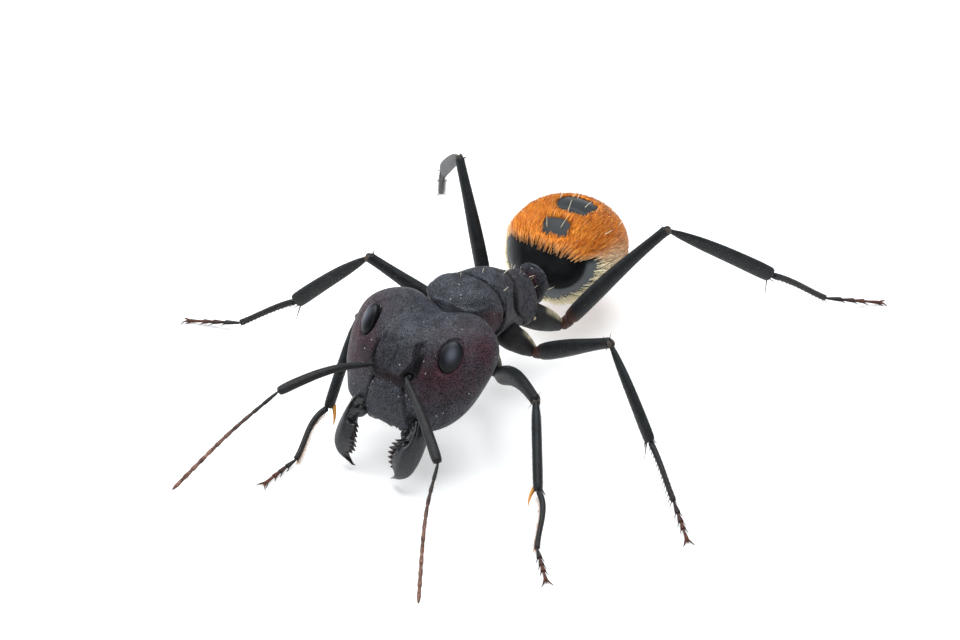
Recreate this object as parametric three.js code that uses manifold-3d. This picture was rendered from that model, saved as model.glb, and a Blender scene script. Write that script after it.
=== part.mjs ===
// A major worker of a carpenter ant, standing at rest, at its real size in millimetres.
// It heads towards -Y, its left side is +X, and its feet stand on the level z = 0.
import * as THREE from 'three';
import { mergeVertices } from 'three/addons/utils/BufferGeometryUtils.js';
import Module from 'manifold-3d';

const wasm = await Module();
wasm.setup();

// ---- driving dimensions -------------------------------------------------------------------

const GAP = 0.03; // clear space between neighbouring pieces
const LIMB = 0.25; // least half thickness of legs and feelers
const OVERRUN = 0.5; // how far a limb runs past a joint before it is mitred there
const FOOT_HEIGHT = 0.06; // height of the last leg joints' axis above the floor

// The place and turns of each part of the body. Bluntness is the power of its end curves.
const HEAD = { at: [0.24, -3.2, 3.17], tilt: 55, roll: -1.5, bluntness: 3.4 };
const MESOSOMA = { at: [0, 0.2, 3.2], tilt: -10.9, bluntness: 4 };
const PETIOLE = { at: [0, 2.5, 2.62], tilt: 90, bluntness: 3 };
const GASTER = { at: [-0.02, 2.86, 2.55], tilt: -7, yaw: 15.7, bluntness: 3 };

// Sections of each lump along its own y axis: [place, half width, top, bottom].
const HEAD_SECTIONS = [
  [-2.12, 1.55, 0.95, -0.4],
  [-1.5, 1.92, 1.24, -0.8],
  [-0.6, 2.27, 1.43, -1.05],
  [0.5, 2.46, 1.34, -1.18],
  [1.2, 2.42, 1.1, -1.15],
  [1.9, 2.08, 0.62, -0.95],
];
const MESOSOMA_SECTIONS = [
  [-2.1, 0.95, 0.55, -0.5],
  [-1.6, 1.22, 0.92, -0.8],
  [-0.9, 1.22, 1.08, -1.0],
  [0.0, 1.02, 1.1, -1.05],
  [0.8, 0.78, 0.78, -1.05],
  [1.2, 0.7, 0.62, -1.0],
  [1.6, 0.7, 0.62, -0.98],
  [2.05, 0.55, 0.25, -0.8],
];
const PETIOLE_SECTIONS = [
  [-0.6, 0.36, 0.3, -0.3],
  [0.0, 0.46, 0.3, -0.28],
  [0.45, 0.54, 0.2, -0.2],
  [0.72, 0.44, 0.12, -0.14],
];
const GASTER_SECTIONS = [
  [0.0, 0.55, 0.5, -0.45],
  [0.45, 1.2, 1.12, -1.0],
  [1.1, 1.64, 1.56, -1.32],
  [2.0, 1.84, 1.72, -1.45],
  [2.9, 1.75, 1.56, -1.4],
  [3.7, 1.38, 1.18, -1.1],
  [4.5, 0.55, 0.35, -0.45],
];
const MESOSOMA_CUTS = [-0.75, 0.5]; // pronotum, mesonotum, propodeum
const GASTER_CUTS = [1.72, 2.76, 3.5, 4.05]; // five tergites

// The rear edge of the head is drawn in between its two lobes.
const NOTCH = { from: 0.4, to: 1.9, depth: 0.44, wide: 0.9 };
// Places on the head, in its own frame: x to its left, y to the crown, z out of the face.
const EYE = { x: 1.5, y: 0.48, wide: 0.34, tall: 0.5, deep: 0.3, sunk: 0.45, turned: 0.85 };
const MOUTH = { at: [0, -2.05, 0.25], size: [0.5, 0.42, 0.42] };
// The left jaw: its outer edge is a curve, its biting edge runs from the tip to the top.
const JAW = {
  outer: [[1.3, -2.06], [1.52, -2.75], [1.34, -3.5], [0.82, -3.6]],
  tip: [0.82, -3.6],
  top: [0.74, -2.6],
  base: [[0.72, -2.3], [0.66, -2.0]],
  teeth: 6,
  toothDepth: 0.1,
  thickness: 0.5,
  height: 0.45, // of its middle plane at the hinge
  hinge: 1.4, // how far out the hinge lies
  lean: 0.8, // rise of the biting edge above the hinge, for each mm inwards
};

// Lengths of femur, tibia, basitarsus and the rest of the tarsus of each pair of legs.
const LEG_LENGTHS = {
  fore: [3.34, 2.82, 2.04, 1.37],
  mid: [3.66, 3.11, 2.17, 1.63],
  hind: [4.47, 4.29, 2.78, 1.71],
};
// Half thickness of coxa, femur, tibia, basitarsus and tarsus at start, middle and end.
const LEG_THICKNESS = [
  [0.4, 0.38, 0.28],
  [0.25, 0.27, 0.25],
  [LIMB, 0.25, 0.25],
  [LIMB, LIMB, LIMB],
  [LIMB, LIMB, LIMB],
];
const LEG_PIECES = ['coxa', 'femur', 'tibia', 'basitarsus', 'tarsus'];
// Where each coxa and femur starts, and for the four long pieces the heading from straight
// outwards towards the back, and the slope above the level, in degrees.
const LEGS = [
  { side: 'left', pair: 'fore', coxa: [0.5, -0.95, 2.4], hip: [0.95, -0.5, 1.37],
    heading: [-31.8, -51.5, -53.8, -42], slope: [18.5, -31.9, -21.3, -6.3] },
  { side: 'right', pair: 'fore', coxa: [-0.5, -0.95, 2.4], hip: [-0.95, -0.35, 1.6],
    heading: [-53.1, -95.4, -97, -88.3], slope: [28.6, -51.7, -21.6, -6.7] },
  { side: 'left', pair: 'mid', coxa: [0.5, 0.25, 2.1], hip: [1.31, 0.8, 1.56],
    heading: [-7.5, -20.1, -32.9, -40], slope: [30.5, -46.8, -23.4, -8.1] },
  { side: 'right', pair: 'mid', coxa: [-0.5, 0.25, 2.1], hip: [-1.17, 0.89, 1.5],
    heading: [-22.9, -19.9, -19.1, -21.3], slope: [32.6, -41, -32.4, -7.7] },
  { side: 'left', pair: 'hind', coxa: [0.42, 1.45, 2.0], hip: [1.12, 2.41, 1.57],
    heading: [44.4, 61.2, 75, 47.9], slope: [45, -36.6, -38.8, -12.9] },
  { side: 'right', pair: 'hind', coxa: [-0.42, 1.45, 2.0], hip: [-1.38, 2.12, 1.55],
    heading: [31.2, 43.9, 48.7, 52.8], slope: [57.9, -37.2, -47.6, -23.4] },
];
const FORE_RIGHT_SHORTER = 0.94; // the right fore femur is drawn in under the head

// Each feeler: socket in the head, elbow, middle of the whip and its tip.
const ANTENNAE = [
  { side: 'left',
    points: [[0.62, -4.5, 3.3], [3.26, -6.34, 2.4], [4.05, -7.95, 1.75], [5.4, -10.05, 0.5]] },
  { side: 'right',
    points: [[-0.4, -4.68, 3.52], [-1.75, -7.44, 3.45], [-2.2, -9.2, 2.75], [-2.7, -11.2, 1.7]] },
];

const SHELL = { color: 0x17181b, roughness: 0.6 };
const GLOSS = { color: 0x0c0c0e, roughness: 0.2 };
const LENS = { color: 0x2c2e33, roughness: 0.3 };
const TERGITE = { color: 0x1a1412, roughness: 0.5 };
const LIMB_SHELL = { color: 0x1c1c1f, roughness: 0.5 };

// ---- shape tools ---------------------------------------------------------------------------

/** Values of a table of sections at one place, on a smooth curve through the rows. */
function follow(rows, place) {
  const last = rows.length - 1;
  let i = 0;
  while (i < last - 1 && place > rows[i + 1][0]) i += 1;
  const slope = (k, column) => {
    const before = rows[Math.max(k - 1, 0)];
    const after = rows[Math.min(k + 1, last)];
    return (after[column] - before[column]) / (after[0] - before[0]);
  };
  const span = rows[i + 1][0] - rows[i][0];
  const t = THREE.MathUtils.clamp((place - rows[i][0]) / span, 0, 1);
  const ease = t * t * (3 - 2 * t);
  return rows[i].slice(1).map((value, n) => {
    const bend = (1 - t) * slope(i, n + 1) - t * slope(i + 1, n + 1);
    return value + (rows[i + 1][n + 1] - value) * ease + span * t * (1 - t) * bend;
  });
}

/** The matrix of a lump's own frame: x to its left, y along it, z out of its upper side. */
function frameOf({ at, tilt = 0, yaw = 0, roll = 0 }) {
  const turn = new THREE.Euler(...[tilt, roll, yaw].map(THREE.MathUtils.degToRad), 'ZXY');
  return new THREE.Matrix4().makeRotationFromEuler(turn).setPosition(...at);
}

/** A closed lump whose sections follow a table along its y axis, blunt at both ends. */
function lump(rows, { around, along, bluntness, grow = 0, warp = null }) {
  const geometry = new THREE.SphereGeometry(1, around, along);
  const place = geometry.getAttribute('position');
  const point = new THREE.Vector3();
  const low = rows[0][0];
  const high = rows[rows.length - 1][0];
  for (let i = 0; i < place.count; i += 1) {
    point.fromBufferAttribute(place, i);
    const radius = Math.max(Math.hypot(point.x, point.z), 1e-9);
    const end = (1 - Math.abs(point.y) ** bluntness) ** (1 / bluntness) || 0;
    const y = THREE.MathUtils.mapLinear(point.y, -1, 1, low, high);
    const [wide, top, bottom] = follow(rows, y);
    const x = (point.x / radius) * (wide + grow) * end;
    const z = (top + bottom) / 2 + (point.z / radius) * ((top - bottom) / 2 + grow) * end;
    point.set(x, y + Math.sign(point.y) * grow * Math.abs(point.y) ** 3, z);
    if (warp) warp(point);
    place.setXYZ(i, ...point);
  }
  return geometry;
}

/** A merged, outward facing manifold solid of a closed geometry. */
function solidOf(geometry) {
  const bare = geometry.clone();
  ['normal', 'uv'].forEach((name) => bare.deleteAttribute(name));
  const merged = mergeVertices(bare, 1e-5);
  const points = merged.getAttribute('position').array;
  const faces = [];
  for (let i = 0; i < merged.index.count; i += 3) {
    const [a, b, c] = [0, 1, 2].map((k) => merged.index.getX(i + k));
    if (a !== b && b !== c && c !== a) faces.push([a, b, c]);
  }
  const corner = (k) => new THREE.Vector3().fromArray(points, 3 * k);
  const signed = ([a, b, c]) => corner(a).dot(corner(b).cross(corner(c)));
  const volume = faces.reduce((sum, face) => sum + signed(face), 0);
  const wound = volume > 0 ? faces : faces.map(([a, b, c]) => [a, c, b]);
  return new wasm.Manifold(new wasm.Mesh({
    numProp: 3,
    vertProperties: new Float32Array(points),
    triVerts: new Uint32Array(wound.flat()),
  }));
}

/** The lump of a table of sections, as a solid in the ant's frame, grown on all sides. */
function placedLump(part, rows, options) {
  const geometry = lump(rows, { bluntness: part.bluntness, ...options });
  return solidOf(geometry.applyMatrix4(frameOf(part)));
}

function geometryOf(solid) {
  const mesh = solid.getMesh();
  const geometry = new THREE.BufferGeometry();
  const points = new Float32Array(mesh.vertProperties);
  geometry.setAttribute('position', new THREE.BufferAttribute(points, 3));
  geometry.setIndex(new THREE.BufferAttribute(new Uint32Array(mesh.triVerts), 1));
  geometry.computeVertexNormals();
  return geometry;
}

/** Keeps what lies beyond the plane through a point, on the side its normal points to. */
function keepBeyond(solid, point, normal, gap = 0) {
  return solid.trimByPlane(normal.toArray(), point.dot(normal) + gap);
}

/** A round limb between two joints, with its half thickness at the start, middle and end. */
function limb(start, end, [first, middle, last], { reach, rings = 3, via = null }) {
  const sides = 8;
  const bend = via ?? start.clone().lerp(end, 0.5);
  const path = new THREE.CatmullRomCurve3([start, bend, end]);
  const length = path.getLength();
  const rows = [[0, first], [0.5, middle], [1, last]];
  const profile = [new THREE.Vector2(0, -reach[0]), new THREE.Vector2(first, -reach[0])];
  for (let i = 0; i <= rings; i += 1) {
    const [half] = follow(rows, i / rings);
    profile.push(new THREE.Vector2(half, (length * i) / rings));
  }
  if (!reach[0]) profile.splice(1, 1);
  if (reach[1]) profile.push(new THREE.Vector2(last, length + reach[1]));
  profile.push(new THREE.Vector2(0, length + reach[1]));
  const geometry = new THREE.LatheGeometry(profile, sides);
  const place = geometry.getAttribute('position');
  const up = new THREE.Vector3(0, 0, 1);
  for (let i = 0; i < place.count; i += 1) {
    const along = place.getY(i);
    const t = THREE.MathUtils.clamp(along / length, 0, 1);
    const tangent = path.getTangent(t);
    const across = tangent.clone().cross(up).normalize();
    const over = across.clone().cross(tangent);
    const point = path.getPoint(t).addScaledVector(tangent, along - t * length);
    point.addScaledVector(across, place.getX(i)).addScaledVector(over, place.getZ(i));
    place.setXYZ(i, ...point);
  }
  return solidOf(geometry);
}

/** Mitres two limbs that meet at a joint, leaves the gap between them and blunts the corner. */
function mitre(before, after, joint, incoming, outgoing, half) {
  const normal = incoming.clone().add(outgoing).normalize();
  const corner = incoming.clone().sub(outgoing);
  let first = keepBeyond(before, joint, normal.clone().negate(), GAP / 2);
  let second = keepBeyond(after, joint, normal, GAP / 2);
  if (corner.length() > 0.1) {
    const inward = corner.normalize().negate();
    first = keepBeyond(first, joint, inward, -1.05 * half);
    second = keepBeyond(second, joint, inward, -1.05 * half);
  }
  return [first, second];
}

// ---- the pieces ----------------------------------------------------------------------------

const ant = new THREE.Group();

/** Adds a solid as a named mesh; its group carries the frame it is modelled in. */
function add(name, solid, finish, group = ant) {
  group.updateMatrixWorld(true);
  const geometry = geometryOf(solid).applyMatrix4(group.matrixWorld.clone().invert());
  const material = new THREE.MeshStandardMaterial({ ...finish, metalness: 0 });
  const mesh = new THREE.Mesh(geometry, material);
  mesh.name = name;
  group.add(mesh);
}

function groupAt(part) {
  const group = new THREE.Group();
  group.applyMatrix4(frameOf(part));
  ant.add(group);
  return group;
}

/** Draws in the rear edge of the head between its lobes. */
function occiput(point) {
  const near = THREE.MathUtils.smoothstep(point.y, NOTCH.from, NOTCH.to);
  point.y -= NOTCH.depth * near * Math.exp(-((point.x / NOTCH.wide) ** 2));
}

function headSolid(grow = 0) {
  return placedLump(HEAD, HEAD_SECTIONS, { around: 28, along: 18, grow, warp: occiput });
}

function eyeSolid(sign, grow = 0) {
  const [wide, top, bottom] = follow(HEAD_SECTIONS, EYE.y);
  const x = EYE.x / wide;
  const surface = (top + bottom) / 2 + ((top - bottom) / 2) * Math.sqrt(1 - x * x);
  const ball = new THREE.SphereGeometry(1, 14, 9);
  ball.scale(EYE.wide + grow, EYE.tall + grow, EYE.deep + grow);
  ball.rotateY(sign * Math.asin(x) * EYE.turned);
  ball.translate(sign * EYE.x, EYE.y, surface - EYE.deep * EYE.sunk);
  return solidOf(ball.applyMatrix4(frameOf(HEAD)));
}

/** One jaw: a toothed blade whose biting edge stands forward of its outer edge. */
function mandibleSolid(sign) {
  const top = new THREE.Vector2(...JAW.top);
  const tip = new THREE.Vector2(...JAW.tip);
  const outline = new THREE.Shape();
  outline.moveTo(...JAW.outer[0]);
  outline.bezierCurveTo(...JAW.outer[1], ...JAW.outer[2], ...JAW.outer[3]);
  for (let k = 1; k <= JAW.teeth; k += 1) {
    const notch = tip.clone().lerp(top, (k - 0.5) / JAW.teeth);
    const tooth = tip.clone().lerp(top, k / JAW.teeth);
    outline.lineTo(notch.x + JAW.toothDepth, notch.y);
    outline.lineTo(tooth.x, tooth.y);
  }
  JAW.base.forEach((corner) => outline.lineTo(...corner));
  const options = { depth: JAW.thickness, curveSegments: 10, bevelEnabled: false };
  const blade = new THREE.ExtrudeGeometry(outline, options);
  const place = blade.getAttribute('position');
  for (let i = 0; i < place.count; i += 1) {
    const [x, y] = [place.getX(i), place.getY(i)];
    const rise = JAW.lean * (JAW.hinge - x) * THREE.MathUtils.smoothstep(y, tip.y, top.y);
    place.setXYZ(i, sign * x, y, place.getZ(i) - JAW.thickness / 2 + JAW.height + rise);
  }
  return solidOf(blade.applyMatrix4(frameOf(HEAD)));
}

function buildHead() {
  const group = groupAt(HEAD);
  let head = headSolid();
  for (const [side, sign] of [['left', 1], ['right', -1]]) {
    head = head.subtract(eyeSolid(sign, GAP));
    add(`eye_${side}`, eyeSolid(sign), LENS, group);
    add(`mandible_${side}`, mandibleSolid(sign).subtract(headSolid(GAP)), GLOSS, group);
  }
  add('head', head, SHELL, group);
  const mouth = new THREE.SphereGeometry(1, 14, 10);
  mouth.scale(...MOUTH.size);
  mouth.translate(...MOUTH.at);
  const jaws = mandibleSolid(1).add(mandibleSolid(-1));
  const whole = solidOf(mouth.applyMatrix4(frameOf(HEAD)));
  add('mouthparts', whole.subtract(headSolid(GAP)).subtract(jaws), SHELL, group);
}

/** Parts a lump with thin cuts across its own y axis, and adds the slices in order. */
function slice(part, whole, cuts, names, finish) {
  const group = groupAt(part);
  const frame = frameOf(part);
  const axis = new THREE.Vector3(0, 1, 0).transformDirection(frame);
  names.forEach((name, i) => {
    let piece = whole;
    if (i > 0) {
      const place = new THREE.Vector3(0, cuts[i - 1], 0).applyMatrix4(frame);
      piece = keepBeyond(piece, place, axis, GAP / 2);
    }
    if (i < cuts.length) {
      const place = new THREE.Vector3(0, cuts[i], 0).applyMatrix4(frame);
      piece = keepBeyond(piece, place, axis.clone().negate(), GAP / 2);
    }
    add(name, piece, finish, group);
  });
}

const mesosomaSolid = (grow = 0) =>
  placedLump(MESOSOMA, MESOSOMA_SECTIONS, { around: 24, along: 18, grow });
const petioleSolid = () => placedLump(PETIOLE, PETIOLE_SECTIONS, { around: 16, along: 10 });
const gasterSolid = (grow = 0) =>
  placedLump(GASTER, GASTER_SECTIONS, { around: 28, along: 22, grow });

function buildBody() {
  const mesosoma = mesosomaSolid().subtract(headSolid(GAP));
  slice(MESOSOMA, mesosoma, MESOSOMA_CUTS, ['pronotum', 'mesonotum', 'propodeum'], SHELL);
  const waist = petioleSolid().subtract(mesosomaSolid(GAP)).subtract(gasterSolid(GAP));
  add('petiole', waist, SHELL);
  const tergites = [1, 2, 3, 4, 5].map((n) => `gaster_segment_${n}`);
  slice(GASTER, gasterSolid(), GASTER_CUTS, tergites, TERGITE);
}

/** The joints of one leg, from the coxa's start to the tip of the foot. */
function legJoints({ side, pair, coxa, hip, heading, slope }) {
  const sign = side === 'left' ? 1 : -1;
  const joints = [new THREE.Vector3(...coxa), new THREE.Vector3(...hip)];
  LEG_LENGTHS[pair].forEach((whole, i) => {
    const drawnIn = i === 0 && side === 'right' && pair === 'fore';
    const length = drawnIn ? whole * FORE_RIGHT_SHORTER : whole;
    const [turn, rise] = [heading[i], slope[i]].map(THREE.MathUtils.degToRad);
    const step = new THREE.Vector3(sign * Math.cos(turn), Math.sin(turn), 0).multiplyScalar(Math.cos(rise));
    step.z = Math.sin(rise);
    joints.push(joints[joints.length - 1].clone().addScaledVector(step, length));
  });
  joints[joints.length - 1].z = FOOT_HEIGHT;
  return joints;
}

function buildLeg(leg) {
  const joints = legJoints(leg);
  const floor = new THREE.Vector3(0, 0, 1);
  const ways = LEG_PIECES.map((_, i) => joints[i + 1].clone().sub(joints[i]).normalize());
  const solids = LEG_PIECES.map((_, i) => limb(joints[i], joints[i + 1], LEG_THICKNESS[i], {
    reach: [i === 0 ? 0 : OVERRUN, i === LEG_PIECES.length - 1 ? 0 : OVERRUN],
  }));
  for (let i = 1; i < LEG_PIECES.length; i += 1) {
    const half = Math.max(LEG_THICKNESS[i - 1][2], LEG_THICKNESS[i][0]);
    [solids[i - 1], solids[i]] = mitre(solids[i - 1], solids[i], joints[i], ways[i - 1], ways[i], half);
  }
  solids[0] = solids[0].subtract(mesosomaSolid(GAP));
  LEG_PIECES.forEach((piece, i) => {
    const resting = keepBeyond(solids[i], new THREE.Vector3(), floor);
    add(`${piece}_${leg.pair}_${leg.side}`, resting, LIMB_SHELL);
  });
}

function buildAntenna({ side, points }) {
  const [socket, elbow, middle, tip] = points.map((p) => new THREE.Vector3(...p));
  const scape = limb(socket, elbow, [LIMB, LIMB, LIMB], { reach: [0, OVERRUN] });
  const whip = limb(elbow, tip, [LIMB, LIMB, LIMB], { reach: [OVERRUN, 0], rings: 8, via: middle });
  const incoming = elbow.clone().sub(socket).normalize();
  const outgoing = middle.clone().sub(elbow).normalize();
  const [first, second] = mitre(scape, whip, elbow, incoming, outgoing, LIMB);
  add(`antenna_scape_${side}`, first.subtract(headSolid(GAP)), LIMB_SHELL);
  add(`antenna_funiculus_${side}`, second, LIMB_SHELL);
}

buildHead();
buildBody();
LEGS.forEach(buildLeg);
ANTENNAE.forEach(buildAntenna);

// The reference point is the middle of the space the ant takes up, on the floor.
const bounds = new THREE.Box3().setFromObject(ant, true);
const middle = bounds.getCenter(new THREE.Vector3());
ant.position.set(-middle.x, -middle.y, -bounds.min.z);

export default ant;
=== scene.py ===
"""The looks of a large-headed worker of a carpenter ant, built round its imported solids.

Every hard piece of the body is a mesh of its own: the head, its eyes and jaws, the plates of
the trunk and rear body, and each piece of each leg and feeler. A lying coat of orange hair
covers the rear body. Shapes are worked out in millimetres in the ant's own modelling frame
(it heads towards -Y, its left is +X, its feet stand on z = 0) and are written to meshes in
metres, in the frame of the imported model.
"""

import itertools
import math

import bpy
import numpy as np
from bpy.props import FloatProperty, FloatVectorProperty, IntProperty, PointerProperty
from mathutils import Matrix, Vector


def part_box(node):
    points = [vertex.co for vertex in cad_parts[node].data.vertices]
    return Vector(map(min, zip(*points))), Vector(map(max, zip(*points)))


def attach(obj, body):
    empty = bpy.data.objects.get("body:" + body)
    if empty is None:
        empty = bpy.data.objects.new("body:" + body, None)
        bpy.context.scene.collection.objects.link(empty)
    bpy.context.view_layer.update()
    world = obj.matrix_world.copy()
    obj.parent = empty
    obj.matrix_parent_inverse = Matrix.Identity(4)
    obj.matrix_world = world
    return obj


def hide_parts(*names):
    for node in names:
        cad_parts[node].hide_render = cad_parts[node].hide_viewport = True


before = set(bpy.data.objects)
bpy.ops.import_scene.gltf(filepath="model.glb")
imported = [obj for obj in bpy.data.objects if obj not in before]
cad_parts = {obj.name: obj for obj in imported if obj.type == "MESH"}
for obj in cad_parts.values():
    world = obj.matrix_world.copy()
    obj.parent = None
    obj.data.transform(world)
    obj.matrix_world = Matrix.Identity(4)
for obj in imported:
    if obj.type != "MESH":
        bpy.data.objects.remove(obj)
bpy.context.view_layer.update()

bl_info = {
    "name": "Carpenter ant",
    "version": (1, 0, 0),
    "blender": (4, 5, 0),
    "location": "View3D > Sidebar > Ant",
    "description": "Builds the shell, hair and stage of a large-headed carpenter ant",
    "category": "Object",
}

MM = 0.001
BODY = "root"
SIDES = (("left", 1.0), ("right", -1.0))
ACROSS = np.array([1.0, 0.0, 0.0])
GOLDEN_TURN = math.pi * (3.0 - math.sqrt(5.0))
# How much of the bake map stays free along each of its edges, and half a hair's patch on it.
BAKE_MARGIN = 0.01
BAKE_PATCH = 0.0015

# ---- numbers and vectors ----


def unit(vectors):
    """Vectors of length one."""
    return vectors / np.maximum(np.linalg.norm(vectors, axis=-1, keepdims=True), 1e-12)


def smoothstep(value, low, high):
    """Rises smoothly from 0 at low to 1 at high."""
    t = np.clip((value - low) / (high - low), 0.0, 1.0)
    return t * t * (3.0 - 2.0 * t)


def falloff(value, low, high):
    """Falls smoothly from 1 at low to 0 at high."""
    return 1.0 - smoothstep(value, low, high)


def bell(value, width):
    """A smooth bump, 1 at zero and small beyond its width."""
    return np.exp(-((value / width) ** 2))


def away(x, y, middle, stretch=1.0):
    """Distances from a middle, with those along y taken stretch times."""
    return np.hypot(x - middle[0], (y - middle[1]) * stretch)


def follow(rows, place):
    """Values of a table of rows at many places, on a smooth curve through the rows."""
    table = np.asarray(rows, float)
    keys, values = table[:, 0], table[:, 1:]
    last = len(keys) - 1
    place = np.asarray(place, float)
    i = np.clip(np.searchsorted(keys, place) - 1, 0, last - 1)
    after = np.minimum(np.arange(last + 1) + 1, last)
    before = np.maximum(np.arange(last + 1) - 1, 0)
    slopes = (values[after] - values[before]) / (keys[after] - keys[before])[:, None]
    span = (keys[i + 1] - keys[i])[..., None]
    t = np.clip((place - keys[i])[..., None] / span, 0.0, 1.0)
    bend = (1.0 - t) * slopes[i] - t * slopes[i + 1]
    ease = t * t * (3.0 - 2.0 * t)
    return values[i] + (values[i + 1] - values[i]) * ease + span * t * (1.0 - t) * bend


def ripples(points, cell, seed):
    """Smooth random values from -1 to 1, with lumps about one cell across."""
    size = 16
    table = np.random.default_rng(seed).uniform(-1.0, 1.0, (size, size, size))
    place = points / cell
    corner = np.floor(place).astype(int)
    t = place - corner
    t = t * t * (3.0 - 2.0 * t)
    total = np.zeros(len(points))
    for step in itertools.product((0, 1), repeat=3):
        weight = np.prod(np.where(step, t, 1.0 - t), axis=1)
        x, y, z = ((corner + step) % size).T
        total += weight * table[x, y, z]
    return total


# ---- parts of the body as tables of sections ----


class Part:
    """A part of the body: sections [place, half width, top, bottom] along its own y axis."""

    def __init__(self, at, rows, bluntness, tilt=0.0, roll=0.0, yaw=0.0):
        self.at = np.array(at)
        self.rows = rows
        self.bluntness = bluntness
        self.low = rows[0][0]
        self.high = rows[-1][0]
        turns = ((yaw, "Z"), (tilt, "X"), (roll, "Y"))
        matrix = Matrix.Identity(3)
        for angle, axis in turns:
            matrix = matrix @ Matrix.Rotation(math.radians(angle), 3, axis)
        self.axes = np.array(matrix)

    def place(self, points):
        """Points of the part's own frame, in the ant's frame."""
        return points @ self.axes.T + self.at

    def own(self, points):
        """Points of the ant's frame, in the part's own frame."""
        return (points - self.at) @ self.axes

    def share(self, along):
        """Places along y as shares of the way from the low end to the high one."""
        return (along - self.low) / (self.high - self.low)

    def ends(self, along):
        """How much a section shrinks towards the blunt ends of the part."""
        reach = np.clip(self.share(along) * 2.0 - 1.0, -1.0, 1.0)
        return (1.0 - np.abs(reach) ** self.bluntness) ** (1.0 / self.bluntness)

    def surface(self, angle, along):
        """Surface points at angles from the top towards the left, and places along y."""
        angle, along = np.broadcast_arrays(angle, along)
        wide, top, bottom = np.moveaxis(follow(self.rows, along), -1, 0)
        end = self.ends(along)
        x = np.sin(angle) * wide * end
        z = (top + bottom) / 2.0 + np.cos(angle) * (top - bottom) / 2.0 * end
        return np.stack([x, along, z], axis=-1)

    def skin(self, angle, along):
        """Surface points with their outward normals and their backward directions."""
        step = 0.01
        here = self.surface(angle, along)
        ahead = self.surface(angle, along + step) - self.surface(angle, along - step)
        aside = self.surface(angle + step, along) - self.surface(angle - step, along)
        return here, unit(np.cross(aside, ahead)), unit(ahead)

    def inside(self, points):
        """1 on the surface, less inside and more outside, for points in the ant's frame."""
        own = self.own(points)
        wide, top, bottom = np.moveaxis(follow(self.rows, own[:, 1]), -1, 0)
        end = np.maximum(self.ends(own[:, 1]), 1e-3)
        height = (own[:, 2] - (top + bottom) / 2.0) / ((top - bottom) / 2.0)
        return np.hypot(own[:, 0] / wide, height) / end


HEAD = Part(
    at=(0.24, -3.2, 3.17),
    tilt=55.0,
    roll=-1.5,
    bluntness=3.4,
    rows=(
        (-2.12, 1.66, 0.95, -0.4),
        (-1.5, 1.97, 1.24, -0.8),
        (-0.6, 2.27, 1.43, -1.05),
        (0.5, 2.46, 1.34, -1.18),
        (1.2, 2.42, 1.1, -1.15),
        (1.9, 2.08, 0.62, -0.95),
    ),
)
TRUNK = Part(
    at=(0.0, 0.2, 3.2),
    tilt=-10.9,
    bluntness=4.0,
    rows=(
        (-2.1, 0.95, 0.55, -0.5),
        (-1.6, 1.22, 0.92, -0.8),
        (-0.9, 1.22, 1.08, -1.0),
        (0.0, 1.02, 1.1, -1.05),
        (0.8, 0.78, 0.78, -1.05),
        (1.2, 0.7, 0.62, -1.0),
        (1.6, 0.7, 0.62, -0.98),
        (2.05, 0.55, 0.25, -0.8),
    ),
)
WAIST = Part(
    at=(0.0, 2.5, 2.62),
    tilt=90.0,
    bluntness=3.0,
    rows=(
        (-0.6, 0.36, 0.3, -0.3),
        (0.0, 0.46, 0.3, -0.28),
        (0.42, 0.51, 0.2, -0.2),
        (0.67, 0.42, 0.12, -0.14),
    ),
)
REAR = Part(
    at=(-0.02, 2.86, 2.55),
    tilt=-7.0,
    yaw=15.7,
    bluntness=3.0,
    rows=(
        (0.0, 0.55, 0.5, -0.45),
        (0.45, 1.15, 1.07, -0.96),
        (1.1, 1.56, 1.48, -1.25),
        (2.0, 1.75, 1.63, -1.37),
        (2.9, 1.66, 1.47, -1.32),
        (3.7, 1.29, 1.09, -1.02),
        (4.44, 0.48, 0.28, -0.38),
    ),
)
# Where the five plates of the rear body meet along it.
TERGITE_EDGES = (0.0, 1.72, 2.76, 3.5, 4.05, 4.44)
# The notch in the rear edge of the head.
NOTCH = {"start": 0.4, "depth": 0.44, "wide": 0.9}

# An eye in the head's frame, and how far both eyes sit off their mirrored places.
EYE = {"x": 1.5, "y": 0.48, "wide": 0.34, "tall": 0.5, "deep": 0.3, "sunk": 0.45, "turned": 0.85}
EYE_MOVED = 0.05
# Half thickness of the lens, and how much of it lies below the shell.
LENS = (0.2, 0.06)


def eye_place(sign):
    """The middle of an eye in the head's frame, and its turn about the head's y axis."""
    wide, top, bottom = follow(HEAD.rows, EYE["y"])
    share = EYE["x"] / wide
    surface = (top + bottom) / 2.0 + (top - bottom) / 2.0 * math.sqrt(1.0 - share * share)
    middle = np.array([sign * EYE["x"], EYE["y"], surface - EYE["deep"] * EYE["sunk"]])
    return middle, sign * math.asin(share) * EYE["turned"]


def node_middle(node):
    """The middle of a CAD node's box, in millimetres."""
    low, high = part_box(node)
    return (np.array(low) + np.array(high)) / 2.0 / MM


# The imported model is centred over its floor: the eyes tell how far the modelling frame moved.
SHIFT = np.mean(
    [node_middle(f"eye_{side}") - HEAD.place(eye_place(sign)[0]) for side, sign in SIDES],
    axis=0,
)

# Lengths of femur, tibia, basitarsus and the rest of the tarsus of each pair of legs.
LEG_LENGTHS = {
    "fore": (3.34, 2.82, 2.04, 1.37),
    "mid": (3.66, 3.11, 2.17, 1.63),
    "hind": (4.47, 4.29, 2.78, 1.71),
}
FORE_RIGHT_SHORTER = 0.94
FOOT_HEIGHT = 0.06
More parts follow.
